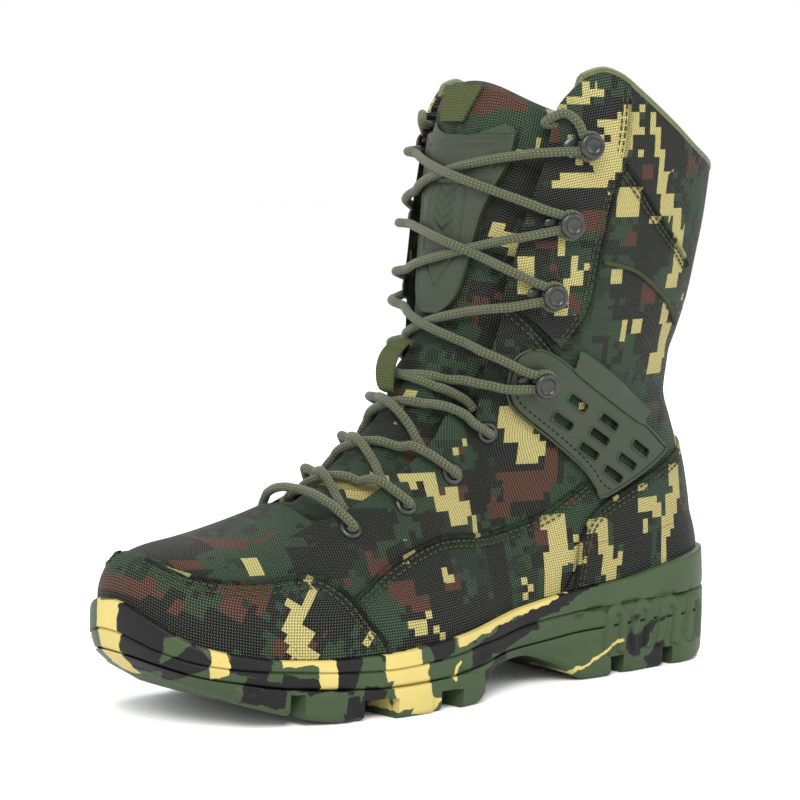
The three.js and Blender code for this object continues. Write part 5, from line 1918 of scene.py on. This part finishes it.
def make_midsole(material):
    base = raised_by(split_line, GAP)
    low = raised_by(base, 1.2)
    high = raised_by(groove_line, -1.1)
    levels = [(base, GROOVE, 0.4), (raised_by(base, 0.5), 0.5, 0.38), (low, 0.0, 0.35)]
    for k in range(1, WALL_STEPS + 1):
        levels.append((between(low, high, k / WALL_STEPS), 0.0, mix(0.35, 0.15, k / WALL_STEPS)))
    levels.append((raised_by(groove_line, -0.5), 0.45, 0.12))
    levels += [(groove_line, GROOVE, 0.1), (raised_by(groove_line, 0.4), 0.6, 0.08)]
    low = raised_by(groove_line, 0.9)
    high = raised_by(lip_line, -1.2)
    for k in range(RIM_STEPS + 1):
        t = k / RIM_STEPS
        levels.append((between(low, high, t), 0.5 * t, 0.05 * (1 - t)))
    levels += [(raised_by(lip_line, -0.4), 0.75, 0.0), (lip_line, 1.4, 0.0), (lip_line, LIP - 0.3, 0.0)]
    rings = floor_rings(base, (0, 0.5)) + side_rings(levels, TOE_TUCK, side_relief)
    rings += side_rings([(bed_line, LIP, 0), (bed_line, BED_EDGE, 0)]) + floor_rings(bed_line, (0.5, 0))
    piece = weld(lay_grid(rings))
    smooth_by_angle(piece, 50)
    finish_piece(piece, "midsole_rubber", material, ["midsole"])


def make_insole(material):
    under = raised_by(bed_line, GAP)
    over = raised_by(under, INSOLE)
    levels = [(under, BED_EDGE, 0), (raised_by(over, -0.8), BED_EDGE, 0), (over, BED_EDGE + 0.8, 0)]
    rings = floor_rings(under, (0, 0.5)) + side_rings(levels) + floor_rings(over, (0.5, 0))
    piece = weld(lay_grid(rings))
    smooth_by_angle(piece, 50)
    finish_piece(piece, "insole_bed", material, ["insole"])


COLLAR_CORD = 1.7  # radius


def make_collar_cord(material):
    count = 2 * HALF_LOOP
    points = []
    for k in range(count):
        at = (k + HALF_LOOP) % count
        point = upper_rows[-1][at] - upper_normals[-1][at] * (WALL / 2)
        in_throat = point.x > LENGTH * THROAT_BACK and abs(point.y) < throat_half(point.z) + 1
        if not in_throat:
            points.append(point + Vector((0, 0, 1.4)))
    points = points[::2] + [points[-1]]
    first, last = (point + Vector((2, 0, -5)) for point in (points[0], points[-1]))
    piece = make_tube("collar_cord", smooth_path([first] + points + [last]), COLLAR_CORD, material)
    finish_piece(piece, "collar_cord", None, ["collar_piping"])


# Materials, each panel with its own patches of the print: x, y, z, half length, half height, turn
vamp_cloth = camouflage(
    "vamp_canvas",
    sand=[
        (124, 40, 114, 5.4, 6.4), (119, 40, 103, 5.2, 5.6), (131, 40, 118, 3, 5), (176, 30, 94, 7.4, 3.0),
        (173, 33, 89, 4.4, 3.2), (166, 35, 84, 6.0, 3.2, -15), (159, 35, 78.5, 5.4, 3.2, -10),
        (152, 35, 72, 2.2, 4.6), (162, 28, 109, 1.8, 1.2), (157, 29, 105, 1.4, 1.2),
        (152, 29, 108, 1.4, 1.2), (259, 26, 64, 3.0, 2.6, -30), (252, 30, 61, 4.4, 1.3),
        (109, 35, 70, 6.4, 3.2), (107, 37, 60, 4.0, 9.0), (103, 38, 58, 1.6, 4), (110, 38, 47, 4.4, 7.5),
        (127, 37, 45, 1.8, 1.2), (122, 37, 48, 1.6, 1.2), (122, 38, 42, 1.4, 1.2),
        (127, 38, 39, 1.8, 1.2), (192, 30, 102, 7, 3, -40),
    ],
    rust=[
        (121, 32, 86, 10.5, 6.0), (134, 31, 78, 6.9, 3.3), (109, 34, 93, 4.0, 7.9),
        (162, 34, 86, 6.5, 3.3), (205, 38, 62, 4, 3), (262, 12, 73, 5, 1.4), (283, 8, 66, 4, 1.6),
        (198, 46, 50, 5, 4), (190, 47, 44, 4, 3), (112, 36, 66, 5, 4), (171, 44, 52, 5, 3),
    ],
    dark=[
        (118, 34, 97, 15, 10), (150, 33, 86, 9, 9), (232, 32, 64, 12, 5), (188, 44, 52, 15, 9),
        (140, 42, 46, 6, 16), (143, 33, 110, 8, 6), (206, 30, 76, 12, 6),
    ],
)
toe_cloth = camouflage(
    "toe_canvas",
    sand=[
        (240, 38, 56, 1.4, 3.2, 25), (243, 38, 51, 1.3, 3.4, 25), (248, 39, 46, 3.6, 3.0, 30),
        (251, 40, 41, 2.6, 3.0, 30), (249, 40, 35, 4.6, 4.2, 30), (247, 41, 28, 5.0, 3.6, 30),
        (219, 49, 34, 1.4, 3.4, 30), (212, 48, 40, 1.4, 3.4, -30), (207, 49, 33, 1.4, 3.4, -30),
        (288, 20, 63, 3, 2, 20),
    ],
    rust=[
        (301, -4, 56, 4, 3.4), (268, 33, 55, 10, 2.6), (275, 33, 49, 3.4, 2.4, 30),
        (257, 40, 33, 2.5, 3, 30), (292, 22, 50, 2.6, 2.6, 30), (263, 36, 50, 3, 3),
    ],
    dark=[(274, 32, 40, 11, 8.5), (236, 42, 40, 10, 7), (299, 4, 48, 6, 8), (222, 46, 48, 9, 6)],
    turn=(0, math.radians(35), 0),
)
counter_cloth = camouflage(
    "counter_canvas",
    sand=[
        (86, 39, 68, 5.3, 2.6), (82, 39, 62, 3.0, 6.0), (79, 39, 52, 3.0, 6.0), (77, 38, 44, 2.2, 5.5),
        (73, 38, 51, 3.0, 1.8), (74, 36, 79, 1.4, 2.0), (57, 36, 82, 2.7, 1.8), (53, 36, 75, 5.6, 3.0),
        (49, 36, 71, 3, 2.4), (56, 36, 64, 1.4, 1.6), (33, 30, 82, 3.4, 7.0), (36, 32, 72, 4.2, 5.5),
        (41, 34, 63, 4.6, 5.5), (43, 35, 50, 2.2, 9.0),
    ],
    rust=[(89, 39, 68, 2.6, 3.4)],
    dark=[(62, 37, 52, 9, 16), (92, 38, 52, 7, 12), (30, 30, 60, 7, 14)],
)
facing_cloth = camouflage(
    "facing_canvas",
    sand=[
        (86, 54, 231, 4.6, 4.4), (90, 53, 225, 4.8, 3.2), (95, 52, 221, 4.2, 2.6),
        (105, 50, 217.5, 10.5, 1.9), (113, 47, 219, 2.5, 1.8), (108, 48, 251, 4.5, 1.4, -10),
        (101, 48, 254, 4.5, 1.6, -10), (116, 45, 247, 2.5, 1.4), (127, 38, 178, 3, 7),
        (113, 46, 190, 2, 4),
    ],
    rust=[(100, 50, 201, 6.4, 4.8), (108, 49, 165, 4, 3), (120, 42, 236, 4, 3)],
    dark=[(102, 49, 210, 13, 6), (94, 50, 240, 8, 8), (110, 46, 156, 8, 5), (112, 46, 228, 8, 5)],
)
shaft_cloth = camouflage(
    "shaft_canvas",
    sand=[
        (81, 51, 208, 5.6, 4.4), (69, 53, 243, 1.6, 4.4), (66, 53, 234, 1.9, 6.0),
        (63, 53, 226, 2.2, 5.0), (60, 52, 217, 3.0, 5.0), (56, 49, 207, 5.4, 5.0),
        (48, 47, 198, 4.0, 6.0), (44, 46, 190, 3.0, 6), (64, 49, 200, 2.5, 1.8), (43, 43, 181, 4.4, 5.0),
        (47, 42, 173, 5.0, 3.0), (75, 43, 153, 3.0, 5.0), (68, 42, 154, 3.4, 3.4),
        (47, 38, 157, 3.4, 4.0), (44, 36, 146, 4.6, 6.0), (48, 36, 136, 5.0, 4.0),
        (84, 46, 176, 2.4, 2.0), (118, 42, 137, 6, 5),
    ],
    rust=[(62, 44, 168, 5, 4), (78, 49, 192, 3, 3), (70, 52, 222, 3, 3)],
    dark=[(57, 46, 232, 10, 10), (74, 48, 222, 7, 8), (60, 46, 188, 9, 8), (72, 42, 164, 6, 12)],
)
tongue_cloth = camouflage(
    "tongue_canvas",
    sand=[
        (195, 16, 89, 9, 5), (133, 25, 196, 1.8, 1.8), (129, 30, 191, 2.2, 4.4), (124, 33, 175, 2, 3.6),
    ],
    rust=[(125, 22, 251, 4, 5), (168, 16, 104, 7, 4)],
    dark=[(128, 30, 215, 10, 14), (130, 28, 160, 10, 14)],
    turn=(0, math.radians(15), 0),
)
sole_marble = marbled_rubber(
    "marbled_rubber",
    yellow=[
        (303, -9, 34, 9, 17, 0, 8), (281, 35, 29, 2.6, 6), (245, 46, 27, 11.5, 2.4),
        (237, 48, 20, 3.6, 5.5), (203, 55, 22, 9, 6), (200, 55, 12, 9, 9), (193, 55, 4, 7, 5, 20),
        (138, 44, 34.8, 38, 2.0, -10.6), (90, 41, 9, 19, 0.8, -22), (4, 0, 50, 5, 4, 0, 20),
        (176, 54, 16, 1.0, 4, 35),
    ],
    black=[
        (303, 8, 38, 9, 15, 0, 9), (291, 27, 28, 7, 5, -40), (270, 39, 27, 8.5, 5.0, 15),
        (263, 42, 15, 9.5, 5.4, 10), (229, 50, 21, 5.0, 8.5, 20), (247, 46, 17, 9, 3, 15),
        (210, 54, 27, 4, 4), (219, 52, 7, 5, 7, 20), (177, 53, 28, 13, 4.4, -12),
        (150, 48, 24, 28, 4.6, -14), (94, 40, 42, 13, 3.4, -14), (118, 44, 34, 14, 3, -14),
        (50, 38, 5, 6.5, 4.5, -30), (228, 50, 6, 4, 5), (150, 50, 14, 9, 3, -24),
    ],
    green=[(172, 54, 22, 5.5, 6.2, 10), (167, 54, 8, 9, 8), (238, 48, 9, 8, 5), (213, 53, 19, 2.4, 5)],
)
plate_green = moulded("plate_moulding", PLATE_GREEN, 0.48)
metal = dark_metal("gun_metal")
lace_braid = braided("lace_braid")
cord_braid = braided("collar_braid", 2.2, 3.0, CORD_OLIVE, CORD_HIGHLIGHT)
lining_cloth = plain_cloth("lining_mesh", LINING_BLACK, 1.4)
webbing_cloth = plain_cloth("ribbed_webbing", WEBBING_OLIVE, 1.2, 0.75, 0.0005)
thread = plain_cloth("dark_thread", THREAD_DARK, 0.5)


def keeper_spot(along, over):
    return mix(-12, 1, over), HEIGHT * mix(0.485, 0.57, along)


def keeper_lift(along):
    return ON_TONGUE + 1.8 + 5.2 * math.sin(math.pi * along) ** 0.6


def tab_spot(along, over):
    return mix(-17, mix(2, 12, along), over), HEIGHT * mix(0.93, 0.99, along)


add_camera()
add_studio()
make_upper(shaft_cloth, vamp_cloth, lining_cloth)
make_tongue(tongue_cloth)
make_tongue_plate(plate_green)
make_laces(lace_braid)
for number in range(len(FASTENERS)):
    make_fastener = make_eyelet if number < HOOK_FROM else make_hook
    for side in SIDES:
        make_fastener(number, side, metal)
for side in SIDES:
    make_ankle_plate(side, plate_green)
make_outsole(sole_marble)
make_midsole(sole_marble)
make_insole(lining_cloth)
make_collar_cord(cord_braid)
make_panel("toe_cap_panel", rounded(in_mm(TOE_CAP), 2), CAP_CLOTH, toe_cloth, ["toe_cap"])
make_panel("counter_panel", rounded(in_mm(COUNTER), 2), CAP_CLOTH, counter_cloth, ["heel_counter"])
for side, name in SIDES.items():
    make_panel(f"facing_panel_{name}", in_mm(FACING), FACING_CLOTH, facing_cloth, [f"facing_{name}"], side)

# Seams: those of the panels follow the open part of their outlines, a little over their cloth
ON_PANEL = GAP + FACING_CLOTH
ON_CANVAS = 0.5
make_seam("toe_cap", in_mm(TOE_CAP)[1:13], ON_PANEL, toe_cloth, thread)
make_seam("counter", in_mm(COUNTER)[:9], ON_PANEL, counter_cloth, thread)
make_seam("facing", in_mm(FACING)[1:9], ON_PANEL, facing_cloth, thread)
make_seam("quarter", QUARTER_SEAM, ON_CANVAS, vamp_cloth, thread)
make_seam("shaft_high", SHAFT_SEAM_HIGH, 0.3, shaft_cloth, thread)
make_seam("shaft_low", SHAFT_SEAM_LOW, ON_CANVAS, thread, thread, rows=())
make_seam("diagonal", DIAGONAL_SEAM, ON_CANVAS, shaft_cloth, thread)
make_ribs(sole_marble)
plate_edge = inset_line(rounded(in_mm(ANKLE_PLATE[6:14]), 3, closed=False), 3.0)
runs = [surface_line(plate_edge, side, GAP + PLATE) for side in SIDES]
make_stitches("plate_stitches", runs, lining_cloth, 2.1, 0.8, 3.0)
make_webbing("keeper_webbing", "lace_keeper", webbing_cloth, keeper_spot, keeper_lift)
make_webbing("tab_webbing", "tongue_tab", webbing_cloth, tab_spot, lambda along: ON_TONGUE)
